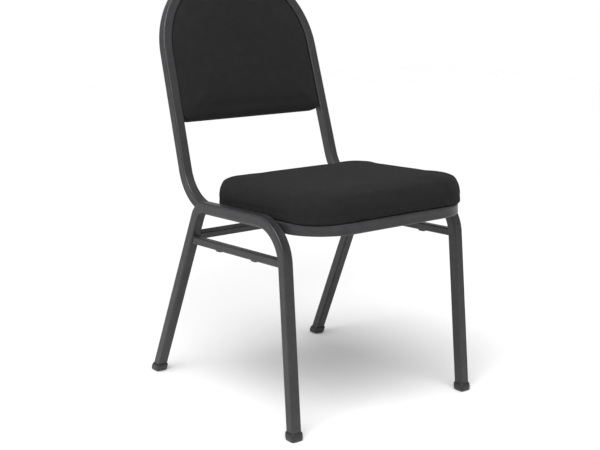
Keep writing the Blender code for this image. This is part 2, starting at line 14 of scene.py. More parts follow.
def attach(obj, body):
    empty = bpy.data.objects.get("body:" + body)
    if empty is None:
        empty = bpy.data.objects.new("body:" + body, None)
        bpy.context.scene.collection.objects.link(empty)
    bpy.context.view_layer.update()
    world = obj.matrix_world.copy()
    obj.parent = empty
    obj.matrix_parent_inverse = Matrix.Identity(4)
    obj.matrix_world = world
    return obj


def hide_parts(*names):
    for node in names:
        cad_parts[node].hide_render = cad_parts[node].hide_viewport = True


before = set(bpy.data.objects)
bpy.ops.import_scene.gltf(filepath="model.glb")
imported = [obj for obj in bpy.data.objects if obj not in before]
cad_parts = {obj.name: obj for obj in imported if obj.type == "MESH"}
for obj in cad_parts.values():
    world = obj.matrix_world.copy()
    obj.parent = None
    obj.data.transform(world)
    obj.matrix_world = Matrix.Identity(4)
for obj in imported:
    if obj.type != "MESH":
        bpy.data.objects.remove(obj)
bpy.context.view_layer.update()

SIDES = {"left": 1, "right": -1}


# ---------------------------------------------------------------------------------------
# Leg frames
# Each side stands on one length of 22 mm square steel tube, bent cold into an upside-down
# U whose bends dish its walls a little. All the steel is sprayed with a charcoal powder
# that bakes into fine veins: dark cells with paler, slightly raised ridges round them.

TUBE = 0.0222
TUBE_CORNER = 0.0034
LEG_X = 0.2243                # at the top rail
LEG_SPLAY = 0.0073            # how far a frame leans out, for each metre downwards
RAIL_Z = 0.4109               # at Y = 0
RAIL_SLOPE = -0.0354
KNEE_Y = {"front": -0.2230, "rear": 0.0678}
FOOT_Y = {"front": -0.2600, "rear": 0.2510}
LEG_BENDS = (0.080, 0.040)
LEG_END_Z = 0.0105            # inside the glide
ARC_STEP = math.radians(3.0)
DISH = 0.085                  # depth of a dished wall, in TUBE squared over the bend radius
POINTS_ROUND = 72             # round the tube's section
SAME_POINT = 1e-5
SAME_VERTEX = 1e-6

VEIN_DARK = (0.0110, 0.0110, 0.0122)
VEIN_PALE = (0.0460, 0.0455, 0.0495)
VEIN_CELLS = 480.0            # cells for each metre
VEIN_RISE = 0.00010
FLOOR_DUST = (0.20, 0.19, 0.175)


def add_node(tree, kind, inputs=None, **settings):
    """Add a node; each input is given a value, or an output to link from."""
    made = tree.nodes.new(kind)
    for name, value in settings.items():
        setattr(made, name, value)
    for name, value in (inputs or {}).items():
        if isinstance(value, bpy.types.NodeSocket):
            tree.links.new(value, made.inputs[name])
        else:
            made.inputs[name].default_value = value
    return made


def calc(tree, operation, *values):
    """One Math node; returns its output."""
    return add_node(tree, "ShaderNodeMath", dict(enumerate(values)),
                    operation=operation).outputs[0]


def vector(tree, operation, *values):
    """One Vector Math node; returns its vector."""
    return add_node(tree, "ShaderNodeVectorMath", dict(enumerate(values)),
                    operation=operation).outputs["Vector"]


def blended(tree, factor, first, second):
    """A colour between two colours, each a value or an output."""
    made = add_node(tree, "ShaderNodeMix", {"Factor": factor}, data_type="RGBA")
    for socket, colour in ((made.inputs[6], first), (made.inputs[7], second)):
        if isinstance(colour, bpy.types.NodeSocket):
            tree.links.new(colour, socket)
        else:
            socket.default_value = (*colour, 1.0)
    return made.outputs[2]


def ramped(tree, value, low, high, from_low=0.0, from_high=1.0):
    return add_node(tree, "ShaderNodeMapRange",
                    {"Value": value, "From Min": from_low, "From Max": from_high,
                     "To Min": low, "To Max": high}).outputs["Result"]


def place_of(tree):
    return add_node(tree, "ShaderNodeTexCoord").outputs["Object"]


def noise(tree, place, scale, detail=2.0, roughness=0.5):
    return add_node(tree, "ShaderNodeTexNoise",
                    {"Vector": place, "Scale": scale, "Detail": detail,
                     "Roughness": roughness}).outputs["Fac"]


def new_finish(name, **constants):
    """A material with its Principled shader's constant values, set by socket name."""
    made = bpy.data.materials.new(name)
    made.use_nodes = True
    shader = made.node_tree.nodes["Principled BSDF"]
    for socket, value in constants.items():
        shader.inputs[socket.replace("_", " ")].default_value = value
    return made, made.node_tree, shader


def raise_bump(tree, shader, height, distance):
    made = add_node(tree, "ShaderNodeBump", {"Height": height, "Distance": distance})
    tree.links.new(made.outputs["Normal"], shader.inputs["Normal"])


def new_group(name, inputs, outputs):
    """An empty shader group with float sockets; returns it with its input and output."""
    group = bpy.data.node_groups.new(name, "ShaderNodeTree")
    for socket, value in inputs.items():
        made = group.interface.new_socket(socket, in_out="INPUT",
                                          socket_type="NodeSocketFloat")
        made.default_value = value
    for socket in outputs:
        group.interface.new_socket(socket, in_out="OUTPUT", socket_type="NodeSocketFloat")
    return group, group.nodes.new("NodeGroupInput"), group.nodes.new("NodeGroupOutput")


def use_group(tree, group, inputs):
    """Place a shader group with its own values; returns its outputs."""
    made = tree.nodes.new("ShaderNodeGroup")
    made.node_tree = group
    for name, value in inputs.items():
        made.inputs[name].default_value = value
    return made.outputs


def handling_marks():
    """Soft smudges from handling, and dust that gathers near the floor."""
    group, given, out = new_group("handling_marks", {"Size": 0.03, "Dust Height": 0.05},
                                  ["Smudge", "Dust"])
    place = place_of(group)
    scale = calc(group, "DIVIDE", 1.0, given.outputs["Size"])
    smudge = ramped(group, noise(group, place, scale, 5.0, 0.6), 0.0, 1.0, 0.42, 0.68)
    height = add_node(group, "ShaderNodeSeparateXYZ", {"Vector": place}).outputs["Z"]
    low = ramped(group, calc(group, "DIVIDE", height, given.outputs["Dust Height"]), 1.0, 0.0)
    group.links.new(smudge, out.inputs["Smudge"])
    group.links.new(calc(group, "MULTIPLY", low, smudge), out.inputs["Dust"])
    return group


def powder_coat_finish():
    made, tree, shader = new_finish("charcoal_vein_powder_coat", Metallic=0.30,
                                    Coat_Weight=0.20, Coat_Roughness=0.30)
    place = place_of(tree)
    wander = add_node(tree, "ShaderNodeTexNoise",
                      {"Vector": place, "Scale": VEIN_CELLS * 0.6, "Detail": 2.0})
    bent = vector(tree, "MULTIPLY_ADD", wander.outputs["Color"], (0.0013,) * 3, place)
    cells = add_node(tree, "ShaderNodeTexVoronoi", {"Vector": bent, "Scale": VEIN_CELLS},
                     feature="DISTANCE_TO_EDGE").outputs["Distance"]
    ridge = ramped(tree, cells, 1.0, 0.0, 0.02, 0.24)
    fleck = ramped(tree, noise(tree, place, 2600.0, 1.0), 0.45, 1.0, 0.35, 0.65)
    cloud = ramped(tree, noise(tree, place, 60.0, 4.0), 0.6, 1.0, 0.35, 0.65)
    marks = use_group(tree, MARKS, {"Size": 0.035, "Dust Height": 0.06})
    pale = calc(tree, "MULTIPLY", calc(tree, "MULTIPLY", ridge, fleck), cloud)
    colour = blended(tree, pale, VEIN_DARK, VEIN_PALE)
    colour = blended(tree, calc(tree, "MULTIPLY", marks["Dust"], 0.10), colour, FLOOR_DUST)
    tree.links.new(colour, shader.inputs["Base Color"])
    rough = calc(tree, "MULTIPLY_ADD", marks["Smudge"], 0.08,
                 ramped(tree, ridge, 0.38, 0.48))
    tree.links.new(rough, shader.inputs["Roughness"])
    raise_bump(tree, shader, ridge, VEIN_RISE)
    return made


def bent_run(corners, bends):
    """Points along a bent tube: straight lengths joined by an arc of each given radius."""
    run = [corners[0]]
    for before, here, after, radius in zip(corners, corners[1:], corners[2:], bends):
        back, ahead = (before - here).normalized(), (after - here).normalized()
        half = back.angle(ahead) / 2.0
        centre = here + (back + ahead).normalized() * radius / math.sin(half)
        start = here + back * radius / math.tan(half) - centre
        axis = ahead.cross(back).normalized()
        sweep = math.pi - 2.0 * half
        steps = math.ceil(sweep / ARC_STEP)
        for step in range(steps + 1):
            point = centre + Matrix.Rotation(sweep * step / steps, 3, axis) @ start
            if (point - run[-1]).length > SAME_POINT:
                run.append(point)
    run.append(corners[-1])
    return run


def carried(run, across):
    """The section's direction at each point, turned only as the run bends from its middle."""
    ahead = [(b - a).normalized() for a, b in zip(run, run[1:])]
    ahead = [ahead[0], *((a + b).normalized() for a, b in zip(ahead, ahead[1:])), ahead[-1]]
    middle = len(run) // 2
    held = {middle: across.normalized()}
    for index in range(middle + 1, len(run)):
        held[index] = ahead[index - 1].rotation_difference(ahead[index]) @ held[index - 1]
    for index in range(middle - 1, -1, -1):
        held[index] = ahead[index + 1].rotation_difference(ahead[index]) @ held[index + 1]
    return [held[index] for index in range(len(run))]


def bend_dish(run):
    """How deep the tube's walls are dished at each point of a run."""
    depths = [0.0]
    for before, here, after in zip(run, run[1:], run[2:]):
        turn = (here - before).angle(after - here)
        depths.append(DISH * TUBE ** 2 * turn / max((here - before).length,
                                                    (after - here).length))
    return [*depths, 0.0]


def route(runs, across, closed=False, dished=False):
    """An object of bare edges along the runs, with the section's direction and dishing."""
    points, edges, directions, depths = [], [], [], []
    for run in runs:
        first = len(points)
        edges += [(first + k, first + k + 1) for k in range(len(run) - 1)]
        if closed:
            edges.append((first + len(run) - 1, first))
        directions += carried(run, across)
        depths += bend_dish(run) if dished else [0.0] * len(run)
        points += run
    mesh = bpy.data.meshes.new("route")
    mesh.from_pydata(points, edges, [])
    stored = mesh.attributes.new("across", "FLOAT_VECTOR", "POINT")
    stored.data.foreach_set("vector", [value for one in directions for value in one])
    mesh.attributes.new("dish", "FLOAT", "POINT").data.foreach_set("value", depths)
    made = bpy.data.objects.new("route", mesh)
    bpy.context.scene.collection.objects.link(made)
    return made


def new_tree(name, inputs):
    """An empty geometry tree with named inputs; returns it with its input node."""
    tree = bpy.data.node_groups.new(name, "GeometryNodeTree")
    tree.is_modifier = True
    tree.interface.new_socket("Geometry", in_out="INPUT", socket_type="NodeSocketGeometry")
    for socket, kind in inputs.items():
        tree.interface.new_socket(socket, in_out="INPUT", socket_type=f"NodeSocket{kind}")
    tree.interface.new_socket("Geometry", in_out="OUTPUT", socket_type="NodeSocketGeometry")
    return tree, tree.nodes.new("NodeGroupInput").outputs


def end_tree(tree, given, geometry):
    """Every tree ends by realizing its instances, shading them smooth and coating them."""
    real = add_node(tree, "GeometryNodeRealizeInstances", {"Geometry": geometry})
    smooth = add_node(tree, "GeometryNodeSetShadeSmooth", {"Geometry": real.outputs[0]})
    coated = add_node(tree, "GeometryNodeSetMaterial",
                      {"Geometry": smooth.outputs[0], "Material": given["Finish"]})
    out = tree.nodes.new("NodeGroupOutput")
    tree.links.new(coated.outputs[0], out.inputs["Geometry"])
    return tree


def read_attribute(tree, name, kind):
    return add_node(tree, "GeometryNodeInputNamedAttribute", {"Name": name},
                    data_type=kind).outputs["Attribute"]


def square_tube_tree():
    """Sweeps a square with round corners along a route and dishes its walls in the bends."""
    tree, given = new_tree("square_tube", {"Side": "Float", "Corner": "Float",
                                           "Points Round": "Int", "Finish": "Material"})
    line = add_node(tree, "GeometryNodeMeshToCurve", {"Mesh": given["Geometry"]})
    line = add_node(tree, "GeometryNodeSetCurveNormal",
                    {"Curve": line.outputs[0],
                     "Normal": read_attribute(tree, "across", "FLOAT_VECTOR")}, mode="FREE")
    square = add_node(tree, "GeometryNodeCurvePrimitiveQuadrilateral",
                      {"Width": given["Side"], "Height": given["Side"]})
    square = add_node(tree, "GeometryNodeResampleCurve",
                      {"Curve": square.outputs[0], "Count": given["Points Round"]})
    spot = add_node(tree, "GeometryNodeInputPosition").outputs[0]
    flat = calc(tree, "SUBTRACT", calc(tree, "MULTIPLY", given["Side"], 0.5), given["Corner"])
    limit = add_node(tree, "ShaderNodeCombineXYZ", {"X": flat, "Y": flat}).outputs[0]
    core = vector(tree, "MAXIMUM", vector(tree, "MINIMUM", spot, limit),
                  vector(tree, "MULTIPLY", limit, (-1.0, -1.0, -1.0)))
    away = add_node(tree, "ShaderNodeVectorMath",
                    {0: vector(tree, "NORMALIZE", vector(tree, "SUBTRACT", spot, core)),
                     "Scale": given["Corner"]}, operation="SCALE").outputs[0]
    rounded = add_node(tree, "GeometryNodeSetPosition",
                       {"Geometry": square.outputs[0],
                        "Position": vector(tree, "ADD", core, away)})
    across, inward = (add_node(tree, "ShaderNodeSeparateXYZ", {"Vector": spot}).outputs[k]
                      for k in ("X", "Y"))
    on_wall = calc(tree, "GREATER_THAN", calc(tree, "ABSOLUTE", inward), flat)
    share = calc(tree, "MINIMUM", calc(tree, "ABSOLUTE", calc(tree, "DIVIDE", across, flat)),
                 1.0)
    sag = calc(tree, "SUBTRACT", 1.0, calc(tree, "POWER", share, 2.0))
    marked = add_node(tree, "GeometryNodeStoreNamedAttribute",
                      {"Geometry": rounded.outputs[0], "Name": "sag",
                       "Value": calc(tree, "MULTIPLY", on_wall, sag)},
                      data_type="FLOAT", domain="POINT")
    swept = add_node(tree, "GeometryNodeCurveToMesh",
                     {"Curve": line.outputs[0], "Profile Curve": marked.outputs[0],
                      "Fill Caps": True}).outputs[0]
    depth = calc(tree, "MULTIPLY", read_attribute(tree, "sag", "FLOAT"),
                 calc(tree, "MULTIPLY", read_attribute(tree, "dish", "FLOAT"), -1.0))
    offset = add_node(tree, "ShaderNodeVectorMath",
                      {0: add_node(tree, "GeometryNodeInputNormal").outputs[0],
                       "Scale": depth}, operation="SCALE").outputs[0]
    dished = add_node(tree, "GeometryNodeSetPosition", {"Geometry": swept, "Offset": offset})
    return end_tree(tree, given, dished.outputs[0])


def grown(name, source, tree, **inputs):
    """Run a geometry tree on a source object and keep the result as a plain mesh object."""
    modifier = source.modifiers.new("grow", "NODES")
    modifier.node_group = tree
    for item in tree.interface.items_tree:
        if item.in_out == "INPUT" and item.name in inputs:
            modifier[item.identifier] = inputs[item.name]
    depsgraph = bpy.context.evaluated_depsgraph_get()
    mesh = bpy.data.meshes.new_from_object(source.evaluated_get(depsgraph))
    bpy.data.objects.remove(source, do_unlink=True)
    for spare in [one.name for one in mesh.attributes if one.name in ("across", "dish", "sag")]:
        mesh.attributes.remove(mesh.attributes[spare])
    return add_piece(name, mesh)


def add_piece(name, mesh):
    """A finished mesh as an object, its doubles merged and its faces turned outwards."""
    skin = bmesh.new()
    skin.from_mesh(mesh)
    bmesh.ops.remove_doubles(skin, verts=skin.verts[:], dist=SAME_VERTEX)
    bmesh.ops.recalc_face_normals(skin, faces=skin.faces[:])
    skin.to_mesh(mesh)
    skin.free()
    mesh.name = name
    made = bpy.data.objects.new(name, mesh)
    bpy.context.scene.collection.objects.link(made)
    return made


def settle(piece, slot, *nodes):
    """Join a finished piece to the chair, in place of the plain solids that it stands for."""
    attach(piece, "root")
    if nodes:
        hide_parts(*nodes)
    return piece


def tube_piece(name, run, across, side, corner):
    return grown(name, route([run], across, dished=True), SQUARE_TUBE,
                 **{"Side": side, "Corner": corner, "Points Round": POINTS_ROUND,
                    "Finish": POWDER_COAT})


def splayed(point, sign):
    """A point of a leg frame's own plane, put on its side of the chair and leaned out."""
    return point + Vector((sign * (LEG_X + LEG_SPLAY * (RAIL_Z - point.z)), 0.0, 0.0))


def knee(end):
    return Vector((0.0, KNEE_Y[end], RAIL_Z + RAIL_SLOPE * KNEE_Y[end]))


def foot(end):
    return Vector((0.0, FOOT_Y[end], 0.0))


def on_leg(end, z):
    """A leg's centre line at a height, in the frame's own plane."""
    return foot(end).lerp(knee(end), z / knee(end).z)


MARKS = handling_marks()
POWDER_COAT = powder_coat_finish()
SQUARE_TUBE = square_tube_tree()
ACROSS_X = Vector((1.0, 0.0, 0.0))

leg_run = bent_run([on_leg("front", LEG_END_Z), knee("front"), knee("rear"),
                    on_leg("rear", LEG_END_Z)], LEG_BENDS)
for side, sign in SIDES.items():
    run = [splayed(point, sign) for point in leg_run]
    leg = tube_piece(f"leg_frame_{side}_tube", run, ACROSS_X, TUBE, TUBE_CORNER)
    settle(leg, "frame_steel", f"leg_frame_{side}")


# ---------------------------------------------------------------------------------------
# Stretchers
# Thinner 16 mm square tubes tie the legs: one between the legs of each frame and one
# across the back. Their ends are cut to the legs' slant and welded all round.

THIN_TUBE = 0.0160
THIN_CORNER = 0.0026
SIDE_STRETCHER_Z = 0.3355     # at Y = 0
SIDE_STRETCHER_SLOPE = -0.0369
REAR_STRETCHER_Z = 0.3400


def stretcher_point(y):
    return Vector((0.0, y, SIDE_STRETCHER_Z + SIDE_STRETCHER_SLOPE * y))


def crossing(end, off_centre=0.0):
    """Where a side stretcher meets a leg, a distance towards the other leg from its middle."""
    along = (knee(end) - foot(end)).normalized()
    inward = Vector((0.0, along.z, -along.y)) * (1 if end == "front" else -1)
    start = foot(end) + inward * off_centre
    rise = along.y / along.z
    y = (start.y + rise * (SIDE_STRETCHER_Z - start.z)) / (1.0 - rise * SIDE_STRETCHER_SLOPE)
    return stretcher_point(y)


for side, sign in SIDES.items():
    run = [splayed(crossing(end), sign) for end in ("front", "rear")]
    tube = tube_piece(f"side_stretcher_{side}_tube", run, ACROSS_X, THIN_TUBE, THIN_CORNER)
    settle(tube, "frame_steel", f"side_stretcher_{side}")

rear_slant = (knee("rear") - foot("rear")).normalized()
run = [splayed(on_leg("rear", REAR_STRETCHER_Z), sign) for sign in (-1, 1)]
tube = tube_piece("rear_stretcher_tube", run, rear_slant, THIN_TUBE, THIN_CORNER)
settle(tube, "frame_steel", "rear_stretcher")


# ---------------------------------------------------------------------------------------
# Seat ring and back hoop
# One long tube makes the dome, the uprights and the sides of the seat ring; a U-shaped
# front rail closes the ring. The butts are welded and ground flush inside the leg frames.

RING_FRONT = Vector((0.0, -0.2960, 0.4120))
RING_TILT = math.radians(2.03)
RING_HALF_WIDTH = 0.2018
RING_CORNER = 0.089
RING_BUTT_Y = 0.165           # from the front rail, in the ring's plane
HOOP_LEAN = math.radians(17.2)
HOOP_REF = Vector((0.0, 0.1577, 0.4500))
HOOP_TOP_Z = 0.8910
HOOP_TOP_HALF_WIDTH = 0.1912
HOOP_LOWER_BEND = 0.100

RING_PLACE = Matrix.Translation(RING_FRONT) @ Matrix.Rotation(-RING_TILT, 4, "X")
ring_up = RING_PLACE.to_3x3() @ Vector((0.0, 0.0, 1.0))
hoop_up = Vector((0.0, math.sin(HOOP_LEAN), math.cos(HOOP_LEAN)))
hoop_front = Vector((0.0, -math.cos(HOOP_LEAN), math.sin(HOOP_LEAN)))


def ring_point(x, y, z=0.0):
    return RING_PLACE @ Vector((x, y, z))


def on_hoop(x, z):
    """The point of the hoop's middle plane at a width and a height."""
    return HOOP_REF + hoop_up * ((z - HOOP_REF.z) / hoop_up.z) + Vector((x, 0.0, 0.0))


hoop_foot = HOOP_REF + hoop_up * ((RING_FRONT - HOOP_REF).dot(ring_up) / hoop_up.dot(ring_up))
crown = on_hoop(0.0, HOOP_TOP_Z)
hoop_turn = math.atan2((crown - hoop_foot).length, RING_HALF_WIDTH - HOOP_TOP_HALF_WIDTH)
dome_radius = HOOP_TOP_HALF_WIDTH * math.tan(hoop_turn / 2.0)

run = bent_run([ring_point(-RING_HALF_WIDTH, RING_BUTT_Y), ring_point(-RING_HALF_WIDTH, 0.0),
                ring_point(RING_HALF_WIDTH, 0.0), ring_point(RING_HALF_WIDTH, RING_BUTT_Y)],
               (RING_CORNER, RING_CORNER))
rail = tube_piece("seat_front_rail_tube", run, ring_up, TUBE, TUBE_CORNER)
settle(rail, "frame_steel", "seat_front_rail")

wide = Vector((RING_HALF_WIDTH, 0.0, 0.0))
narrow = Vector((HOOP_TOP_HALF_WIDTH, 0.0, 0.0))
run = bent_run([ring_point(-RING_HALF_WIDTH, RING_BUTT_Y), hoop_foot - wide, crown - narrow,
                crown + narrow, hoop_foot + wide, ring_point(RING_HALF_WIDTH, RING_BUTT_Y)],
               (HOOP_LOWER_BEND, dome_radius, dome_radius, HOOP_LOWER_BEND))
hoop = tube_piece("back_hoop_tube", run, hoop_front, TUBE, TUBE_CORNER)
settle(hoop, "frame_steel", "back_hoop")


# ---------------------------------------------------------------------------------------
# Seat braces
# Two flat steel bars are welded across the ring to carry the seat. Each has a punched
# hole near both ends for a screw.

FACE_GAP = 0.0003             # left between two faces that lie on each other
SEAT_BASE = TUBE / 2 + FACE_GAP         # underside of the seat, above the ring's plane
DUST_SHEET = 0.0008
BRACE_TOP = SEAT_BASE - 2 * FACE_GAP - DUST_SHEET
BRACE_THICK = 0.0040
BRACE_WIDTH = 0.0300
BRACE_HALF = RING_HALF_WIDTH - TUBE / 2
BRACE_Y = {"front": 0.1150, "rear": 0.2900}
BRACE_ROUNDING = 0.0005
SEAT_SCREW_X = 0.1200
SEAT_HOLE = 0.0032
HOLE_SPLINE_STEPS = 24
PLATE_CRISP = math.radians(25.0)        # a plate's edges sharper than this stay crisp


def ring_of(middle_x, middle_y, radius, count):
    """Points round a circle in XY."""
    turns = (2.0 * math.pi * k / count for k in range(count))
    return [(middle_x + radius * math.cos(t), middle_y + radius * math.sin(t)) for t in turns]


def plate(name, outline, holes, low, high, rounding, place, finish):
    """A flat plate with holes and rounded edges, from low to high above its own plane."""
    shape = bpy.data.curves.new(name, "CURVE")
    shape.dimensions = "2D"
    shape.fill_mode = "BOTH"
    shape.extrude = (high - low) / 2 - rounding
    shape.bevel_depth = rounding
    shape.bevel_resolution = 2
    shape.offset = -rounding
    for loop in (outline, *holes):
        spline = shape.splines.new("POLY")
        spline.points.add(len(loop) - 1)
        spline.use_cyclic_u = True
        for point, (x, y) in zip(spline.points, loop):
            point.co = (x, y, 0.0, 1.0)
    source = bpy.data.objects.new(name, shape)
    bpy.context.scene.collection.objects.link(source)
    depsgraph = bpy.context.evaluated_depsgraph_get()
    mesh = bpy.data.meshes.new_from_object(source.evaluated_get(depsgraph))
    bpy.data.objects.remove(source, do_unlink=True)
    mesh.transform(place @ Matrix.Translation((0.0, 0.0, (low + high) / 2)))
    made = add_piece(name, mesh)
    mesh.materials.clear()
    mesh.materials.append(finish)
    mesh.shade_smooth()
    mesh.set_sharp_from_angle(angle=PLATE_CRISP)
    return made


for end, y in BRACE_Y.items():
    outline = [(-BRACE_HALF, y - BRACE_WIDTH / 2), (BRACE_HALF, y - BRACE_WIDTH / 2),
               (BRACE_HALF, y + BRACE_WIDTH / 2), (-BRACE_HALF, y + BRACE_WIDTH / 2)]
    holes = [ring_of(sign * SEAT_SCREW_X, y, SEAT_HOLE, HOLE_SPLINE_STEPS)
             for sign in (-1, 1)]
    brace = plate(f"seat_brace_{end}_bar", outline, holes, BRACE_TOP - BRACE_THICK, BRACE_TOP,
                  BRACE_ROUNDING, RING_PLACE, POWDER_COAT)
    settle(brace, "frame_steel", f"seat_brace_{end}")


# ---------------------------------------------------------------------------------------
# Weld beads
# The joints are welded from outside: a row of overlapping ripples round each stretcher
# end, and short runs where the ring meets the leg frames and the braces. They are
# sprayed with the frame, so they have its finish.

BEAD_PITCH = 0.0013
BEAD_RADIUS = 0.0017
BEAD_LOOP_ROUNDING = 0.0020
BEAD_LIFT = 0.0002            # how far a bead's middle stands off the steel
SEAM_STARTS = (-0.168, -0.085, -0.005)  # along Y, where the ring lies against the rails
SEAM_LENGTH = 0.026


def bead_tree():
    """Sets a slightly uneven ripple at every step along a route."""
    tree, given = new_tree("weld_bead", {"Pitch": "Float", "Radius": "Float",
                                         "Finish": "Material"})
    line = add_node(tree, "GeometryNodeMeshToCurve", {"Mesh": given["Geometry"]})
    line = add_node(tree, "GeometryNodeResampleCurve",
                    {"Curve": line.outputs[0], "Length": given["Pitch"]}, mode="LENGTH")
    ripple = add_node(tree, "GeometryNodeMeshUVSphere",
                      {"Segments": 8, "Rings": 5, "Radius": given["Radius"]})
    uneven = add_node(tree, "FunctionNodeRandomValue",
                      {"Min": (0.75, 0.85, 0.60), "Max": (0.95, 1.10, 0.75), "Seed": 4},
                      data_type="FLOAT_VECTOR")
    along = add_node(tree, "GeometryNodeInputTangent")
    turn = add_node(tree, "FunctionNodeAlignEulerToVector", {"Vector": along.outputs[0]},
                    axis="X")
    beads = add_node(tree, "GeometryNodeInstanceOnPoints",
                     {"Points": line.outputs[0], "Instance": ripple.outputs[0],
                      "Rotation": turn.outputs[0], "Scale": uneven.outputs[0]})
    return end_tree(tree, given, beads.outputs[0])


def section_loop(middle, along, across, half):
    """The rounded outline of a tube's end, slid along the tube onto a leg's sloping face."""
    up = along.cross(across).normalized()
    corners = [(-half, -half), (half, -half), (half, half), (-half, half)]
    loop = []
    for (a, b), (c, d) in zip(corners, corners[1:] + corners[:1]):
        edge = Vector((c - a, d - b)).normalized() * BEAD_LOOP_ROUNDING
        loop += [(a + edge.x, b + edge.y), (c - edge.x, d - edge.y)]
    return [middle(across * a + up * b) for a, b in loop]


WELD_BEAD = bead_tree()
half = THIN_TUBE / 2 + 2 * BEAD_LIFT
along_side = (crossing("rear") - crossing("front")).normalized()
loops = []
for sign in SIDES.values():
    for end in ("front", "rear"):
        slant = (knee(end) - foot(end)).normalized()
        normal = Vector((0.0, slant.z, -slant.y))
        seat_of_weld = crossing(end, TUBE / 2 + BEAD_LIFT)

        def on_face(offset):
            slide = -offset.dot(normal) / along_side.dot(normal)
            return splayed(seat_of_weld + offset + along_side * slide, sign)

        loops.append(section_loop(on_face, along_side, ACROSS_X, half))
    inner = on_leg("rear", REAR_STRETCHER_Z)
    inner = splayed(inner, sign) - Vector((sign * (TUBE / 2 + BEAD_LIFT), 0.0, 0.0))
    loops.append(section_loop(lambda offset: inner + offset, ACROSS_X, rear_slant, half))
beads = grown("stretcher_weld_beads", route(loops, ACROSS_X, closed=True), WELD_BEAD,
              Pitch=BEAD_PITCH, Radius=BEAD_RADIUS, Finish=POWDER_COAT)
settle(beads, "frame_steel")

runs = []
for sign in SIDES.values():
    seam_x = sign * (RING_HALF_WIDTH + TUBE / 2 + BEAD_LIFT)
    for start in SEAM_STARTS:
        ends = (start, start + SEAM_LENGTH)
        over = [ring_point(seam_x, y - RING_FRONT.y, TUBE / 2) for y in ends]
        under = [Vector((seam_x, y, RAIL_Z + RAIL_SLOPE * y - TUBE / 2)) for y in ends]
        runs += [over, under]
    for y in BRACE_Y.values():
        ends = (y - BRACE_WIDTH / 2, y + BRACE_WIDTH / 2)
        runs.append([ring_point(sign * BRACE_HALF, at, BRACE_TOP - BRACE_THICK) for at in ends])
beads = grown("ring_weld_beads", route(runs, ACROSS_X), WELD_BEAD,
              Pitch=BEAD_PITCH, Radius=BEAD_RADIUS, Finish=POWDER_COAT)
settle(beads, "frame_steel")


# ---------------------------------------------------------------------------------------
# Floor glides and stacking bumpers
# Black nylon cups pushed over the ends of the legs keep the tube off the floor, and two
# nylon buttons under each side stretcher rest on the rails of the chair below.

GLIDE_HALF = 0.0140
GLIDE_CORNER = 0.0060
GLIDE_FLOOR = 0.0057          # inside of the cup, where the tube's end sits
GLIDE_SOLE = (                # height and inset, from the recess under the foot outwards
    (0.0016, 0.0100), (0.0015, 0.0092), (0.0004, 0.0086), (0.0, 0.0080), (0.0, 0.0050))
GLIDE_SIDE = (
    (0.0003, 0.0034), (0.0010, 0.0021), (0.0022, 0.0011), (0.0040, 0.0004),
    (0.0065, 0.0), (0.0095, 0.0), (0.0125, 0.0002), (0.0148, 0.0006))
GLIDE_LIP = (
    (0.0160, 0.0010), (0.0167, 0.0015), (0.0170, 0.0021), (0.0168, 0.0026))
GLIDE_MOUTH_Z = 0.0162
GLIDE_PLAY = 0.0002           # between the cup and the tube
BUMPER_Y = {"front": -0.128, "rear": -0.003}
BUMPER_HALF = (0.0060, 0.0100)
BUMPER_DEPTH = 0.0035
BUMPER_ROUND = 0.95           # corner radius, of the half width
BUMPER_SIDE = ((0.0, 0.0034), (0.0003, 0.0018), (0.0009, 0.0008), (0.0018, 0.0002),
               (BUMPER_DEPTH, 0.0))
CORNER_STEPS = 8
TIGHTEST = 0.0010             # smallest corner radius left by an inset
MOULDED_CRISP = 35.0          # degrees; edges sharper than this stay crisp
NYLON_DARK = (0.0115, 0.0115, 0.0120)
NYLON_SCUFFED = (0.045, 0.045, 0.046)


def outline_of(corners, radii, inset, steps):
    """A closed outline in XY with rounded corners, moved inwards by inset."""
    count = len(corners)
    points = []
    for index, here in enumerate(corners):
        here = Vector(here)
        along_in = (here - Vector(corners[index - 1])).normalized()
        along_out = (Vector(corners[(index + 1) % count]) - here).normalized()
        normal_in = Vector((-along_in.y, along_in.x))
        normal_out = Vector((-along_out.y, along_out.x))
        corner = here + (normal_in + normal_out) / (1.0 + normal_in.dot(normal_out)) * inset
        radius = max(radii[index] - inset, TIGHTEST)
        turn = along_in.angle(along_out)
        centre = corner + along_out * radius * math.tan(turn / 2) + normal_out * radius
        for step in range(steps + 1):
            spin = Matrix.Rotation(turn * step / steps, 2)
            points.append(centre - spin @ normal_in * radius)
    return points


def box_corners(half_x, half_y):
    return [(-half_x, -half_y), (half_x, -half_y), (half_x, half_y), (-half_x, half_y)]


def stacked(corners, radii, levels, steps):
    """A closed skin through outlines at the given (height, inset) levels."""
    skin = bmesh.new()
    loops = []
    for height, inset in levels:
        points = outline_of(corners, radii, inset, steps)
        loops.append([skin.verts.new((p.x, p.y, height)) for p in points])
    for here, after in zip(loops, loops[1:]):
        for k in range(len(here)):
            m = (k + 1) % len(here)
            skin.faces.new((here[k], here[m], after[m], after[k]))
    skin.faces.new(loops[0])
    skin.faces.new(loops[-1])
    return skin


def skin_piece(name, skin, place, finish, crease=MOULDED_CRISP):
    """Turn a bmesh into a finished piece with one finish."""
    mesh = bpy.data.meshes.new(name)
    skin.to_mesh(mesh)
    skin.free()
    mesh.transform(place)
    mesh.materials.append(finish)
    made = add_piece(name, mesh)
    mesh.shade_smooth()
    mesh.set_sharp_from_angle(angle=math.radians(crease))
    return made


def moulded_grain():
    """The fine pebble that a spark-eroded mould leaves on plastic."""
    group, given, out = new_group("moulded_grain", {"Grains": 1800.0}, ["Height"])
    place = place_of(group)
    cells = add_node(group, "ShaderNodeTexVoronoi",
                     {"Vector": place, "Scale": given.outputs["Grains"]},
                     feature="SMOOTH_F1").outputs["Distance"]
    group.links.new(cells, out.inputs["Height"])
    return group


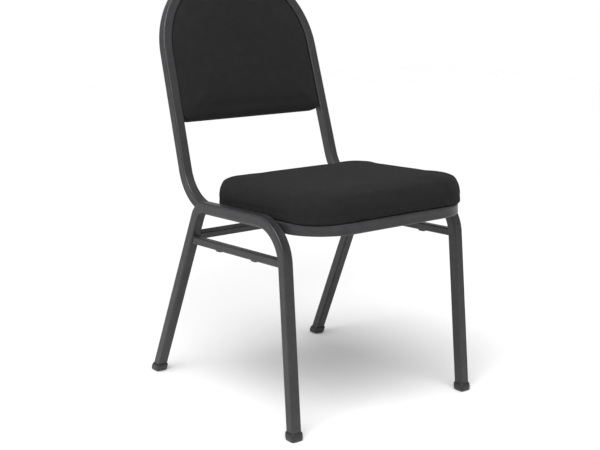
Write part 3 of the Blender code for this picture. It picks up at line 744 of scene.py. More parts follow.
def nylon_finish():
    made, tree, shader = new_finish("black_nylon")
    marks = use_group(tree, MARKS, {"Size": 0.006, "Dust Height": 0.014})
    grain = use_group(tree, GRAIN, {"Grains": 1500.0})
    scuff = calc(tree, "MULTIPLY", marks["Dust"], 0.8)
    tree.links.new(blended(tree, scuff, NYLON_DARK, NYLON_SCUFFED), shader.inputs["Base Color"])
    rough = calc(tree, "MULTIPLY_ADD", marks["Smudge"], 0.18, 0.40)
    tree.links.new(rough, shader.inputs["Roughness"])
    raise_bump(tree, shader, grain["Height"], 0.00010)
    return made


GRAIN = moulded_grain()
NYLON = nylon_finish()

for side, sign in SIDES.items():
    for end in ("front", "rear"):
        lean = (knee(end).y - foot(end).y) / knee(end).z
        half_y = GLIDE_HALF * math.sqrt(1.0 + lean * lean)
        wall = GLIDE_HALF - TUBE / 2 - GLIDE_PLAY
        levels = [*GLIDE_SOLE, *GLIDE_SIDE, *GLIDE_LIP, (GLIDE_MOUTH_Z, wall),
                  (GLIDE_FLOOR, wall)]
        corners = box_corners(GLIDE_HALF, half_y)
        cup = stacked(corners, [GLIDE_CORNER] * 4, levels, CORNER_STEPS)
        leaning = Matrix.Identity(4)
        leaning[1][2] = lean
        leaning[0][2] = -sign * LEG_SPLAY
        where = splayed(foot(end), sign)
        cup = skin_piece(f"glide_{end}_{side}_cup", cup, Matrix.Translation(where) @ leaning,
                         NYLON)
        settle(cup, "nylon", f"glide_{end}_{side}")
    for end, y in BUMPER_Y.items():
        half_x, half_y = BUMPER_HALF
        under = -THIN_TUBE / 2
        levels = [(under - BUMPER_DEPTH + up, inset) for up, inset in BUMPER_SIDE]
        button = stacked(box_corners(half_x, half_y), [half_x * BUMPER_ROUND] * 4, levels,
                         CORNER_STEPS)
        tilt = Matrix.Rotation(math.atan(SIDE_STRETCHER_SLOPE), 4, "X")
        where = splayed(stretcher_point(y), sign)
        button = skin_piece(f"stack_bumper_{end}_{side}_button", button,
                            Matrix.Translation(where) @ tilt, NYLON)
        settle(button, "nylon", f"stack_bumper_{end}_{side}")


# ---------------------------------------------------------------------------------------
# Screws and tee nuts
# Zinc-plated pan-head screws with a cross recess hold both pads. The seat's screws pass
# up through the braces into tee nuts pressed in the board, which stay hidden inside it.

SEAT_SCREW = {"head": 0.0055, "rise": 0.0032, "shank": 0.0024, "length": 0.0175}
BACK_SCREW = {"head": 0.0040, "rise": 0.0020, "shank": 0.0018, "length": 0.0120}
RECESS_ARM = 0.55             # of the head's radius
RECESS_WIDTH = 0.17
RECESS_DEPTH = 0.62           # of the head's height
HEAD_STEPS = 7
HEAD_SQUARENESS = (0.6, 0.5)  # powers that flatten the dome, across and down
HEAD_GAP = 0.0002
SCREW_POINT = 0.0003
SEAT_SCREW_SPIN = 0.4         # radians, so that no two recesses line up
TURN_STEPS = 32
ZINC_PALE = (0.56, 0.57, 0.59)
ZINC_DULL = (0.36, 0.37, 0.38)


def zinc_finish():
    made, tree, shader = new_finish("zinc_plate", Metallic=1.0)
    place = place_of(tree)
    bloom = ramped(tree, noise(tree, place, 700.0, 4.0), 0.0, 1.0, 0.40, 0.70)
    marks = use_group(tree, MARKS, {"Size": 0.008, "Dust Height": 0.05})
    tree.links.new(blended(tree, bloom, ZINC_PALE, ZINC_DULL), shader.inputs["Base Color"])
    rough = calc(tree, "MULTIPLY_ADD", marks["Smudge"], 0.15,
                 ramped(tree, bloom, 0.25, 0.42))
    tree.links.new(rough, shader.inputs["Roughness"])
    raise_bump(tree, shader, noise(tree, place, 3500.0, 2.0), 0.00003)
    return made


def pan_head_screw(head, rise, shank, length):
    """One screw about Z, its head hanging below Z = 0 and its shank above."""
    profile = []
    wide, deep = HEAD_SQUARENESS
    for step in range(HEAD_STEPS + 1):
        turn = math.pi / 2 * step / HEAD_STEPS
        profile.append((head * math.sin(turn) ** wide, -rise * math.cos(turn) ** deep))
    profile += [(shank, 0.0), (shank, length - 2 * shank), (SCREW_POINT, length)]
    skin = bmesh.new()
    loops = [[skin.verts.new((radius * math.cos(2 * math.pi * k / TURN_STEPS),
                              radius * math.sin(2 * math.pi * k / TURN_STEPS), height))
              for k in range(TURN_STEPS)] for radius, height in profile[1:]]
    tip = skin.verts.new((0.0, 0.0, -rise))
    for here, after in zip(loops, loops[1:]):
        for k in range(TURN_STEPS):
            m = (k + 1) % TURN_STEPS
            skin.faces.new((here[k], here[m], after[m], after[k]))
    for k in range(TURN_STEPS):
        skin.faces.new((tip, loops[0][(k + 1) % TURN_STEPS], loops[0][k]))
    skin.faces.new(loops[-1])
    body = skin_piece("screw_body", skin, Matrix.Identity(4), ZINC)
    for turn in (0.0, math.pi / 2):
        slot = bmesh.new()
        bmesh.ops.create_cube(slot, size=1.0)
        size = Matrix.Diagonal((2 * RECESS_ARM * head, 2 * RECESS_WIDTH * head,
                                2 * RECESS_DEPTH * rise, 1.0))
        place = Matrix.Translation((0.0, 0.0, -rise)) @ Matrix.Rotation(turn, 4, "Z") @ size
        slot = skin_piece("recess", slot, place, ZINC)
        body = carved(body, slot)
    return body


def carved(target, cutter):
    """The target with the cutter's shape taken out of it; the cutter is used up."""
    cut = target.modifiers.new("cut", "BOOLEAN")
    cut.operation = "DIFFERENCE"
    cut.object = cutter
    depsgraph = bpy.context.evaluated_depsgraph_get()
    mesh = bpy.data.meshes.new_from_object(target.evaluated_get(depsgraph))
    target.modifiers.remove(cut)
    target.data = mesh
    bpy.data.objects.remove(cutter, do_unlink=True)
    return target


def fastener_tree():
    """Sets one fastener at every point of a mesh, turned as the point says."""
    tree, given = new_tree("fasteners", {"Fastener": "Object", "Finish": "Material"})
    points = add_node(tree, "GeometryNodeMeshToPoints", {"Mesh": given["Geometry"]})
    model = add_node(tree, "GeometryNodeObjectInfo", {"Object": given["Fastener"]})
    turn = read_attribute(tree, "turn", "FLOAT_VECTOR")
    placed = add_node(tree, "GeometryNodeInstanceOnPoints",
                      {"Points": points.outputs[0], "Instance": model.outputs["Geometry"],
                       "Rotation": turn})
    return end_tree(tree, given, placed.outputs[0])


def fastened(name, fastener, places):
    """Copies of one fastener at the given matrices, as one piece."""
    mesh = bpy.data.meshes.new("places")
    mesh.from_pydata([place.translation for place in places], [], [])
    stored = mesh.attributes.new("turn", "FLOAT_VECTOR", "POINT")
    stored.data.foreach_set("vector", [angle for place in places
                                       for angle in place.to_euler()])
    source = bpy.data.objects.new("places", mesh)
    bpy.context.scene.collection.objects.link(source)
    made = grown(name, source, FASTENERS, Fastener=fastener, Finish=ZINC)
    made.data.set_sharp_from_angle(angle=math.radians(MOULDED_CRISP))
    return made


ZINC = zinc_finish()
FASTENERS = fastener_tree()

screw = pan_head_screw(**SEAT_SCREW)
places = []
nodes = []
for end, y in BRACE_Y.items():
    for side, sign in SIDES.items():
        spin = Matrix.Rotation(sign * SEAT_SCREW_SPIN + y, 4, "Z")
        under = Matrix.Translation((sign * SEAT_SCREW_X, y,
                                    BRACE_TOP - BRACE_THICK - HEAD_GAP))
        places.append(RING_PLACE @ under @ spin)
        nodes.append(f"seat_screw_{end}_{side}")
seat_screws = fastened("seat_screws", screw, places)
settle(seat_screws, "zinc_plate", *nodes)
bpy.data.objects.remove(screw, do_unlink=True)


def refinish(node, finish):
    """Give a plain solid that stays in the chair its finish."""
    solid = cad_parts[node]
    solid.data.materials.clear()
    solid.data.materials.append(finish)


for end in ("front", "rear"):
    for side in SIDES:
        refinish(f"seat_tee_nut_{end}_{side}", ZINC)


# ---------------------------------------------------------------------------------------
# Seat board and back board
# Both pads are built on plywood: thin plies of beech, glued crosswise and cut to the pad's
# outline. They are hidden once the pads are covered.

SEAT_HALF_FRONT = 0.2105
SEAT_HALF_REAR = 0.2045
SEAT_FRONT_Y = -0.0060
SEAT_REAR_Y = 0.3595
SEAT_RADII = [0.075, 0.075, 0.055, 0.055]
SEAT_CORNERS = [(-SEAT_HALF_FRONT, SEAT_FRONT_Y), (SEAT_HALF_FRONT, SEAT_FRONT_Y),
                (SEAT_HALF_REAR, SEAT_REAR_Y), (-SEAT_HALF_REAR, SEAT_REAR_Y)]
SEAT_TOP = SEAT_BASE + 0.0610
COVER = 0.0012                # upholstery cloth
SEAT_BOARD = 0.0110
BOARD_HIGH = SEAT_BASE + COVER + FACE_GAP + SEAT_BOARD
BEECH = ((0.46, 0.30, 0.17), (0.62, 0.44, 0.27))
PLY = 0.0014                  # thickness of one ply
GLUE_SHARE = 0.2              # of a ply
GLUE_LINE = (0.22, 0.13, 0.07)


def plywood_finish():
    made, tree, shader = new_finish("beech_plywood", Roughness=0.62)
    place = place_of(tree)
    stretched = add_node(tree, "ShaderNodeMapping",
                         {"Vector": place, "Scale": (70.0, 5.0, 70.0)}).outputs[0]
    grain = noise(tree, stretched, 1.0, 6.0, 0.55)
    wood = blended(tree, ramped(tree, grain, 0.0, 1.0, 0.30, 0.70), *BEECH)
    facing = add_node(tree, "ShaderNodeSeparateXYZ",
                      {"Vector": add_node(tree, "ShaderNodeTexCoord").outputs["Normal"]})
    edge = calc(tree, "LESS_THAN", calc(tree, "ABSOLUTE", facing.outputs["Z"]), 0.5)
    height = add_node(tree, "ShaderNodeSeparateXYZ", {"Vector": place}).outputs["Z"]
    layer = calc(tree, "PINGPONG", height, PLY)
    glue = calc(tree, "MULTIPLY", edge, calc(tree, "LESS_THAN", layer, PLY * GLUE_SHARE))
    tree.links.new(blended(tree, glue, wood, GLUE_LINE), shader.inputs["Base Color"])
    raise_bump(tree, shader, grain, 0.00008)
    return made


PLYWOOD = plywood_finish()
refinish("seat_board", PLYWOOD)
refinish("back_board", PLYWOOD)


# ---------------------------------------------------------------------------------------
# Seat pad
# A slab of moulded foam on the board, under one piece of plain-woven black polyester
# pulled down over the edge, gathered at the corners and stapled 40 mm in underneath.

SEAT_SLACK = 0.0020           # the pad starts this much small, then swells
SEAT_UNDER = 0.0015           # how much smaller still at its very base
SEAT_UNDER_RISE = 0.0020
SEAT_WALL_RISE = 0.0200       # the side is upright to here
SEAT_EDGE = 0.0170            # radius of the soft top edge
SEAT_CROWN = 0.0012
SEAT_SWELL = 0.0035           # as far as any point may move
SEAT_HEM = 0.0400
SEAT_HELD = 0.0040            # below the board's top by this much, nothing swells
SEAT_RELAX = 0.0060           # above the board's top by this much, the skin is evened out
SEAT_SNUG = 0.0300            # over this height the side eases off the exact outline
SEAT_CUT = 0.0036             # above the base, where the skin gives way to its fold
CROWN_LEVELS = ((0.5, 0.45), (1.3, 0.75), (2.6, 0.93), (4.2, 1.0))
                              # inset in edge radii beyond the edge, share of the crown
CREASE_RISE = 0.0020          # above the board's top
CREASE_DEPTH = 0.0007
CREASE_WIDTH = 0.0035
GATHER_DEPTH = 0.0006
GATHERS = 46                  # pulls in the cloth for each radian round a corner
GATHER_HEIGHT = 0.0160
FOLD = ((0.0022, 0.0001), (0.0011, 0.0006), (0.0003, 0.0016), (0.0, 0.0032),
        (0.0, 0.0080), (0.0, 0.0200), (0.0, 0.0300), (0.0, SEAT_HEM))
RELAX_ROUNDS = 4
RIM_REACH = 4                 # neighbours to each side that give a rim its direction
FOAM_CLEAR = 0.0018           # from the cloth's inside to the foam
FOAM_CRISP = 50.0
OUTLINE_STEPS = 10            # round each corner of the seat's outline
VOXEL = 0.0060
SWELL_FRAMES = 20
PRESSURE = 4.0
SIDE_BAND = 0.0060            # how near a point of the side is to the outline
FOAM_GREY = ((0.30, 0.30, 0.285), (0.40, 0.40, 0.38))
THREAD = 0.00095              # width of one yarn in the weave
CLOTH_DARK = (0.0075, 0.0075, 0.0080)
CLOTH_PALE = (0.0260, 0.0258, 0.0268)


def plain_weave():
    """Yarns going over and under each other, on the face that the surface mostly faces."""
    group, given, out = new_group("plain_weave", {"Thread": 0.001}, ["Height", "Yarn And Hollow Shade"])
    coordinates = add_node(group, "ShaderNodeTexCoord").outputs
    spot = add_node(group, "ShaderNodeSeparateXYZ",
                    {"Vector": coordinates["Object"]}).outputs
    facing = add_node(group, "ShaderNodeSeparateXYZ",
                      {"Vector": vector(group, "ABSOLUTE", coordinates["Normal"])}).outputs
    rate = calc(group, "DIVIDE", math.pi, given.outputs["Thread"])
    waves = {axis: calc(group, "SINE", calc(group, "MULTIPLY", spot[axis], rate))
             for axis in "XYZ"}
    heights, weights = [], []
    for across, along, normal in ("XYZ", "XZY", "YZX"):
        warp, weft = waves[across], waves[along]
        over = calc(group, "GREATER_THAN", calc(group, "MULTIPLY", warp, weft), 0.0)
        warp, weft = calc(group, "ABSOLUTE", warp), calc(group, "ABSOLUTE", weft)
        round_warp = calc(group, "MULTIPLY", warp,
                          calc(group, "MULTIPLY_ADD", weft, 0.4, 0.6))
        round_weft = calc(group, "MULTIPLY", weft,
                          calc(group, "MULTIPLY_ADD", warp, 0.4, 0.6))
        kept = calc(group, "MULTIPLY", over, round_warp)
        rest = calc(group, "MULTIPLY", calc(group, "SUBTRACT", 1.0, over), round_weft)
        heights.append(calc(group, "ADD", kept, rest))
        weights.append(calc(group, "POWER", facing[normal], 8.0))
    total = calc(group, "ADD", calc(group, "ADD", weights[0], weights[1]), weights[2])
    height = 0.0
    for one, weight in zip(heights, weights):
        height = calc(group, "MULTIPLY_ADD", one, calc(group, "DIVIDE", weight, total), height)
    slub = ramped(group, noise(group, coordinates["Object"], 900.0, 3.0), 0.0, 1.0, 0.3, 0.7)
    group.links.new(height, out.inputs["Height"])
    # Painted shade: the yarn tone is multiplied by the weave's height, so the colour is
    # darkened in the hollows between yarns and is palest on their crowns.
    group.links.new(calc(group, "MULTIPLY", height,
                         calc(group, "MULTIPLY_ADD", slub, 0.6, 0.4)), out.inputs["Yarn And Hollow Shade"])
    return group


def cloth_finish():
    made, tree, shader = new_finish("black_woven_cloth", Sheen_Weight=0.02,
                                    Sheen_Roughness=0.45, Specular_IOR_Level=0.10)
    place = place_of(tree)
    weave = use_group(tree, WEAVE, {"Thread": THREAD})
    cloud = ramped(tree, noise(tree, place, 45.0, 4.0), 0.70, 1.0, 0.3, 0.7)
    # The base colour carries painted shade in the weave's hollows, along with the random yarn
    # slub and cloud.
    shade = calc(tree, "MULTIPLY", weave["Yarn And Hollow Shade"], cloud)
    tree.links.new(blended(tree, shade, CLOTH_DARK, CLOTH_PALE), shader.inputs["Base Color"])
    tree.links.new(ramped(tree, weave["Height"], 0.97, 0.84), shader.inputs["Roughness"])
    raise_bump(tree, shader, weave["Height"], 0.00022)
    return made


def foam_finish():
    made, tree, shader = new_finish("grey_foam", Roughness=0.92)
    place = place_of(tree)
    cells = add_node(tree, "ShaderNodeTexVoronoi", {"Vector": place, "Scale": 900.0})
    tint = ramped(tree, noise(tree, place, 30.0, 3.0), 0.0, 1.0, 0.3, 0.7)
    tree.links.new(blended(tree, tint, *FOAM_GREY), shader.inputs["Base Color"])
    raise_bump(tree, shader, cells.outputs["Distance"], 0.0003)
    return made


def remeshed(skin, voxel):
    """An even mesh over a closed bmesh, as a linked object."""
    mesh = bpy.data.meshes.new("pad")
    skin.to_mesh(mesh)
    skin.free()
    made = bpy.data.objects.new("pad", mesh)
    bpy.context.scene.collection.objects.link(made)
    remesh = made.modifiers.new("remesh", "REMESH")
    remesh.mode = "VOXEL"
    remesh.voxel_size = voxel
    depsgraph = bpy.context.evaluated_depsgraph_get()
    even = bpy.data.meshes.new_from_object(made.evaluated_get(depsgraph))
    made.modifiers.remove(remesh)
    made.data = even
    return made


def swollen(pad, held_below, cap):
    """Let a pad swell above a height as cloth does; no point moves further than cap."""
    before = [vert.co.copy() for vert in pad.data.vertices]
    held = pad.vertex_groups.new(name="held")
    held.add([k for k, spot in enumerate(before) if spot.z < held_below], 1.0, "REPLACE")
    cloth = pad.modifiers.new("swell", "CLOTH")
    cloth.settings.quality = 4
    cloth.settings.mass = 0.25
    cloth.settings.tension_stiffness = 15.0
    cloth.settings.compression_stiffness = 15.0
    cloth.settings.shear_stiffness = 5.0
    cloth.settings.bending_stiffness = 1.0
    cloth.settings.use_pressure = True
    cloth.settings.uniform_pressure_force = PRESSURE
    cloth.settings.vertex_group_mass = "held"
    cloth.settings.effector_weights.gravity = 0.0
    cloth.collision_settings.use_collision = False
    for number in range(1, SWELL_FRAMES + 1):
        bpy.context.scene.frame_set(number)
    depsgraph = bpy.context.evaluated_depsgraph_get()
    after = bpy.data.meshes.new_from_object(pad.evaluated_get(depsgraph))
    pad.modifiers.remove(cloth)
    pad.data = after
    bpy.context.scene.frame_set(1)
    for vert, start in zip(pad.data.vertices, before):
        move = vert.co - start
        vert.co = start + move.normalized() * cap * math.tanh(move.length / cap)


def relaxed(pad, above, rounds):
    """Even out a pad's surface above a height, as the foam under the cloth does."""
    skin = bmesh.new()
    skin.from_mesh(pad.data)
    free = [vert for vert in skin.verts if vert.co.z > above]
    for _ in range(rounds):
        bmesh.ops.smooth_vert(skin, verts=free, factor=0.5, use_axis_x=True,
                              use_axis_y=True, use_axis_z=True)
    skin.to_mesh(pad.data)
    skin.free()


def snug(pad, corners, radii, inset, tight, loose):
    """Pull the sides onto the pad's outline up to tight, fading out towards loose."""
    outline = outline_of(corners, radii, inset, 48)
    dense = [here.lerp(after, k / 40) for here, after in zip(outline, outline[1:] + outline[:1])
             for k in range(40)]
    tree = KDTree(len(dense))
    for k, spot in enumerate(dense):
        tree.insert((spot.x, spot.y, 0.0), k)
    tree.balance()
    for vert in pad.data.vertices:
        spot, _, distance = tree.find((vert.co.x, vert.co.y, 0.0))
        fade = min(1.0, max(0.0, (loose - vert.co.z) / (loose - tight)))
        if distance < SIDE_BAND:
            vert.co.x += (spot.x - vert.co.x) * fade
            vert.co.y += (spot.y - vert.co.y) * fade


def smoother(pad, levels):
    """Subdivide a pad's mesh and keep the result."""
    finer = pad.modifiers.new("finer", "SUBSURF")
    finer.levels = levels
    finer.render_levels = levels
    depsgraph = bpy.context.evaluated_depsgraph_get()
    mesh = bpy.data.meshes.new_from_object(pad.evaluated_get(depsgraph))
    pad.modifiers.remove(finer)
    pad.data = mesh


def trimmed(skin, height):
    """Cut away everything below the height."""
    everything = skin.verts[:] + skin.edges[:] + skin.faces[:]
    bmesh.ops.bisect_plane(skin, geom=everything, plane_co=(0.0, 0.0, height),
                           plane_no=(0.0, 0.0, 1.0), clear_inner=True)
    return skin


def rim_of(skin):
    """The open rim's vertices in order, each with its outward direction in XY."""
    edges = [edge for edge in skin.edges if edge.is_boundary]
    first = edges[0].verts[0]
    order = [first]
    came_by = None
    here = first
    while True:
        ways = [edge for edge in here.link_edges if edge.is_boundary and edge != came_by]
        came_by = ways[0]
        here = came_by.other_vert(here)
        if here == first:
            break
        order.append(here)
    count = len(order)
    turned = []
    for k in range(count):
        along = order[(k + RIM_REACH) % count].co - order[k - RIM_REACH].co
        turned.append(Vector((along.y, -along.x, 0.0)).normalized())
    middle = sum((vert.co for vert in order), Vector()) / count
    if (order[0].co - middle).dot(turned[0]) < 0.0:
        turned = [-one for one in turned]
    return order, turned


def hemmed(mesh, cut, levels):
    """The mesh cut off at a height, its rim turned in through (height, inset) levels."""
    skin = bmesh.new()
    skin.from_mesh(mesh)
    rim, outward = rim_of(trimmed(skin, cut))
    starts = [vert.co.copy() for vert in rim]
    loop = rim
    for height, inset in levels:
        after = [skin.verts.new((*(start - out * inset).xy, height))
                 for start, out in zip(starts, outward)]
        for k in range(len(loop)):
            m = (k + 1) % len(loop)
            skin.faces.new((loop[k], loop[m], after[m], after[k]))
        loop = after
    return skin


def cover_piece(name, skin, place):
    """A cloth cover of real thickness from its outer skin, open where the hem ends."""
    mesh = bpy.data.meshes.new(name)
    bmesh.ops.recalc_face_normals(skin, faces=skin.faces[:])
    skin.to_mesh(mesh)
    skin.free()
    source = bpy.data.objects.new(name, mesh)
    bpy.context.scene.collection.objects.link(source)
    wall = source.modifiers.new("wall", "SOLIDIFY")
    wall.thickness = COVER
    wall.offset = -1.0
    depsgraph = bpy.context.evaluated_depsgraph_get()
    walled = bpy.data.meshes.new_from_object(source.evaluated_get(depsgraph))
    bpy.data.objects.remove(source, do_unlink=True)
    walled.materials.clear()
    walled.materials.append(CLOTH)
    walled.transform(place)
    walled.shade_smooth()
    walled.name = name
    made = bpy.data.objects.new(name, walled)
    bpy.context.scene.collection.objects.link(made)
    return made


def foam_piece(name, mesh, height, place):
    """The foam inside a cover: the swollen shape, one cloth smaller, on its board."""
    skin = bmesh.new()
    skin.from_mesh(mesh)
    skin.normal_update()
    shrink = [(vert, vert.co - vert.normal * (COVER + FOAM_CLEAR)) for vert in skin.verts]
    for vert, spot in shrink:
        vert.co = spot
    rim, _ = rim_of(trimmed(skin, height))
    skin.faces.new(rim)
    return skin_piece(name, skin, place, FOAM, FOAM_CRISP)


def soft_edge(high, edge, slack, crown_rise, steps=6):
    """(height, inset) levels over a pad's rounded top edge and up its crown."""
    levels = []
    for step in range(steps + 1):
        turn = math.pi / 2 * step / steps
        levels.append((high - crown_rise - edge * (1 - math.sin(turn)),
                       slack + edge * (1 - math.cos(turn))))
    for share, rise in CROWN_LEVELS:
        levels.append((high - crown_rise * (1 - rise), slack + edge * (1 + share)))
    return levels


WEAVE = plain_weave()
CLOTH = cloth_finish()
FOAM = foam_finish()

levels = [(SEAT_BASE, SEAT_SLACK + SEAT_UNDER), (SEAT_BASE + SEAT_UNDER_RISE, SEAT_SLACK),
          (SEAT_BASE + SEAT_WALL_RISE, SEAT_SLACK),
          *soft_edge(SEAT_TOP - SEAT_SLACK, SEAT_EDGE, SEAT_SLACK, SEAT_CROWN)]
pad = remeshed(stacked(SEAT_CORNERS, SEAT_RADII, levels, OUTLINE_STEPS), VOXEL)
swollen(pad, BOARD_HIGH - SEAT_HELD, SEAT_SWELL)
relaxed(pad, BOARD_HIGH + SEAT_RELAX, RELAX_ROUNDS)

# Bring the swollen pad back to its exact height and width.
low = [min(vert.co[axis] for vert in pad.data.vertices) for axis in range(3)]
high = [max(vert.co[axis] for vert in pad.data.vertices) for axis in range(3)]
target_low = (-SEAT_HALF_FRONT, SEAT_FRONT_Y, SEAT_BASE)
target_high = (SEAT_HALF_FRONT, SEAT_REAR_Y, SEAT_TOP)
for vert in pad.data.vertices:
    for axis in range(3):
        share = (vert.co[axis] - low[axis]) / (high[axis] - low[axis])
        vert.co[axis] = target_low[axis] + share * (target_high[axis] - target_low[axis])

snug(pad, SEAT_CORNERS, SEAT_RADII, 0.0, BOARD_HIGH, BOARD_HIGH + SEAT_SNUG)
foam = foam_piece("seat_foam_slab", pad.data, BOARD_HIGH + FACE_GAP, RING_PLACE)
settle(foam, "foam", "seat_foam")

smoother(pad, 1)
snug(pad, SEAT_CORNERS, SEAT_RADII, 0.0, BOARD_HIGH, BOARD_HIGH + SEAT_SNUG)
pad.data.update()
facing = [vert.normal.copy() for vert in pad.data.vertices]
for vert, normal in zip(pad.data.vertices, facing):
    rise = vert.co.z - (BOARD_HIGH + CREASE_RISE)
    outward = Vector((normal.x, normal.y, 0.0))
    crease = CREASE_DEPTH * math.exp(-(rise / CREASE_WIDTH) ** 2)
    bearing = math.atan2(normal.y, normal.x)
    at_corner = math.sin(2.0 * bearing) ** 2
    low_down = max(0.0, 1.0 - (vert.co.z - SEAT_BASE) / GATHER_HEIGHT)
    gather = GATHER_DEPTH * at_corner * low_down * (0.5 + 0.5 * math.sin(GATHERS * bearing))
    vert.co -= outward * (crease + gather)

fold = [(SEAT_BASE + up, inset) for up, inset in FOLD]
skin = hemmed(pad.data, SEAT_BASE + SEAT_CUT, fold)
cover = cover_piece("seat_cover_cloth", skin, RING_PLACE)
settle(cover, "fabric", "seat_cover")
bpy.data.objects.remove(pad, do_unlink=True)


# ---------------------------------------------------------------------------------------
# Dust sheet
# A thin black non-woven sheet closes the underside of the seat. It is stretched over the
# hem and held by wire staples, driven a finger's width in from its edge.

DUST_INSET = 0.0260
DUST_ROUNDING = 0.0002
STAPLE_INSET = 0.0315
STAPLE_PITCH = 0.027
STAPLE_CROWN = 0.0100
STAPLE_WIRE = 0.00045
STAPLE_CLEAR = 0.0230         # kept clear of a brace's middle
STAPLE_LEG = 0.0015           # of each end, before it goes into the board
STAPLE_BEND = 0.0007
STAPLE_STEP = 0.0040
SHEET_GREY = ((0.010, 0.010, 0.011), (0.028, 0.028, 0.029))


def dust_sheet_finish():
    made, tree, shader = new_finish("black_nonwoven_sheet", Roughness=0.88)
    place = place_of(tree)
    points = add_node(tree, "ShaderNodeTexVoronoi", {"Vector": place, "Scale": 650.0},
                      feature="F1").outputs["Distance"]
    dimple = ramped(tree, points, 0.0, 1.0, 0.10, 0.35)
    fibre = ramped(tree, noise(tree, place, 300.0, 6.0, 0.65), 0.0, 1.0, 0.35, 0.65)
    shade = calc(tree, "MULTIPLY", dimple, fibre)
    tree.links.new(blended(tree, shade, *SHEET_GREY), shader.inputs["Base Color"])
    raise_bump(tree, shader, dimple, 0.00012)
    return made


def staple():
    """One staple's crown, flat in XY with its ends turned up into the board."""
    half = STAPLE_CROWN / 2
    path = [Vector((-half, 0.0, STAPLE_LEG)), Vector((-half, 0.0, 0.0)),
            Vector((half, 0.0, 0.0)), Vector((half, 0.0, STAPLE_LEG))]
    run = bent_run(path, (STAPLE_BEND, STAPLE_BEND))[::4]
    return grown("staple", route([[path[0], *run[1:-1], path[-1]]], Vector((0.0, 1.0, 0.0))),
                 SQUARE_TUBE, **{"Side": STAPLE_WIRE * 2, "Corner": STAPLE_WIRE * 0.6,
                                 "Points Round": 8, "Finish": ZINC})


def staple_tree():
    """Sets a staple at even steps along a route, lying along it."""
    tree, given = new_tree("staples", {"Staple": "Object", "Pitch": "Float",
                                       "Finish": "Material"})
    line = add_node(tree, "GeometryNodeMeshToCurve", {"Mesh": given["Geometry"]})
    line = add_node(tree, "GeometryNodeResampleCurve",
                    {"Curve": line.outputs[0], "Length": given["Pitch"]}, mode="LENGTH")
    points = add_node(tree, "GeometryNodeCurveToPoints", {"Curve": line.outputs[0]},
                      mode="EVALUATED")
    model = add_node(tree, "GeometryNodeObjectInfo", {"Object": given["Staple"]})
    uneven = add_node(tree, "FunctionNodeRandomValue",
                      {"Min": (0.0, 0.0, -0.12), "Max": (0.0, 0.0, 0.12), "Seed": 11},
                      data_type="FLOAT_VECTOR")
    along = add_node(tree, "FunctionNodeAlignEulerToVector",
                     {"Vector": points.outputs["Tangent"]}, axis="X", pivot_axis="Z")
    turn = add_node(tree, "FunctionNodeRotateEuler",
                    {"Rotation": along.outputs[0], "Rotate By": uneven.outputs[0]},
                    space="LOCAL")
    placed = add_node(tree, "GeometryNodeInstanceOnPoints",
                      {"Points": points.outputs["Points"],
                       "Instance": model.outputs["Geometry"], "Rotation": turn.outputs[0]})
    return end_tree(tree, given, placed.outputs[0])


DUST_CLOTH = dust_sheet_finish()
dust_outline = [tuple(p) for p in outline_of(SEAT_CORNERS, SEAT_RADII, DUST_INSET,
                                             OUTLINE_STEPS)]
holes = [ring_of(sign * SEAT_SCREW_X, y, SEAT_HOLE, HOLE_SPLINE_STEPS)
         for sign in (-1, 1) for y in BRACE_Y.values()]
dust_high = SEAT_BASE - FACE_GAP
dust = plate("seat_dust_sheet_cloth", dust_outline, holes, dust_high - DUST_SHEET, dust_high,
             DUST_ROUNDING, RING_PLACE, DUST_CLOTH)
settle(dust, "dust_cloth", "seat_dust_sheet")

stapled = []
loop = [Vector((*p, dust_high - DUST_SHEET - STAPLE_WIRE * 0.5))
        for p in outline_of(SEAT_CORNERS, SEAT_RADII, STAPLE_INSET, OUTLINE_STEPS)]
fine = []
for here, after in zip(loop, loop[1:] + loop[:1]):
    pieces = max(1, round((after - here).length / STAPLE_STEP))
    fine += [here.lerp(after, k / pieces) for k in range(pieces)]
stretch = []
for spot in fine:
    if min(abs(spot.y - y) for y in BRACE_Y.values()) > STAPLE_CLEAR:
        stretch.append(spot)
    elif stretch:
        stapled.append(stretch)
        stretch = []
stapled[0] = stretch + stapled[0]
one = staple()
staples = grown("seat_staples", route(stapled, Vector((0.0, 0.0, 1.0))), staple_tree(),
                Staple=one, Pitch=STAPLE_PITCH, Finish=ZINC)
bpy.data.objects.remove(one, do_unlink=True)
staples.data.transform(RING_PLACE)
settle(staples, "zinc_plate")


# ---------------------------------------------------------------------------------------
# Back tabs and their screws
# Four small steel plates are welded to the inside of the hoop. The back is screwed to
# them from behind, before its rear panel goes on.

PAD_BOTTOM_Z = 0.5685
PAD_CLEAR = 0.0006
PAD_CORNER = 0.0180
PAD_CROWN = 0.0230
BOARD_REAR = -0.0060          # depths are from the hoop's middle plane, to the front
BOARD_FRONT = 0.0020
HEM_REAR = BOARD_REAR - FACE_GAP - COVER
TAB_HEIGHTS = {"lower": 0.0350, "upper": 0.1200}
TAB_WIDTH = 0.0220
TAB_REACH = 0.0280
TAB_THICK = 0.0020
TAB_FRONT = HEM_REAR - FACE_GAP
TAB_ROUNDING = 0.0003
TAB_NOSE = 0.0060             # radius of the tab's free corners
NOSE_STEPS = 6
BACK_SCREW_IN = 0.0180        # from the hoop to the screw
BACK_SCREW_SPIN = 0.7
BACK_HOLE = 0.0021
TAB_BEAD = 0.7                # size of a tab's bead, of the frame's
TAB_BEAD_SHORT = 0.0020       # it stops this far from the tab's edges

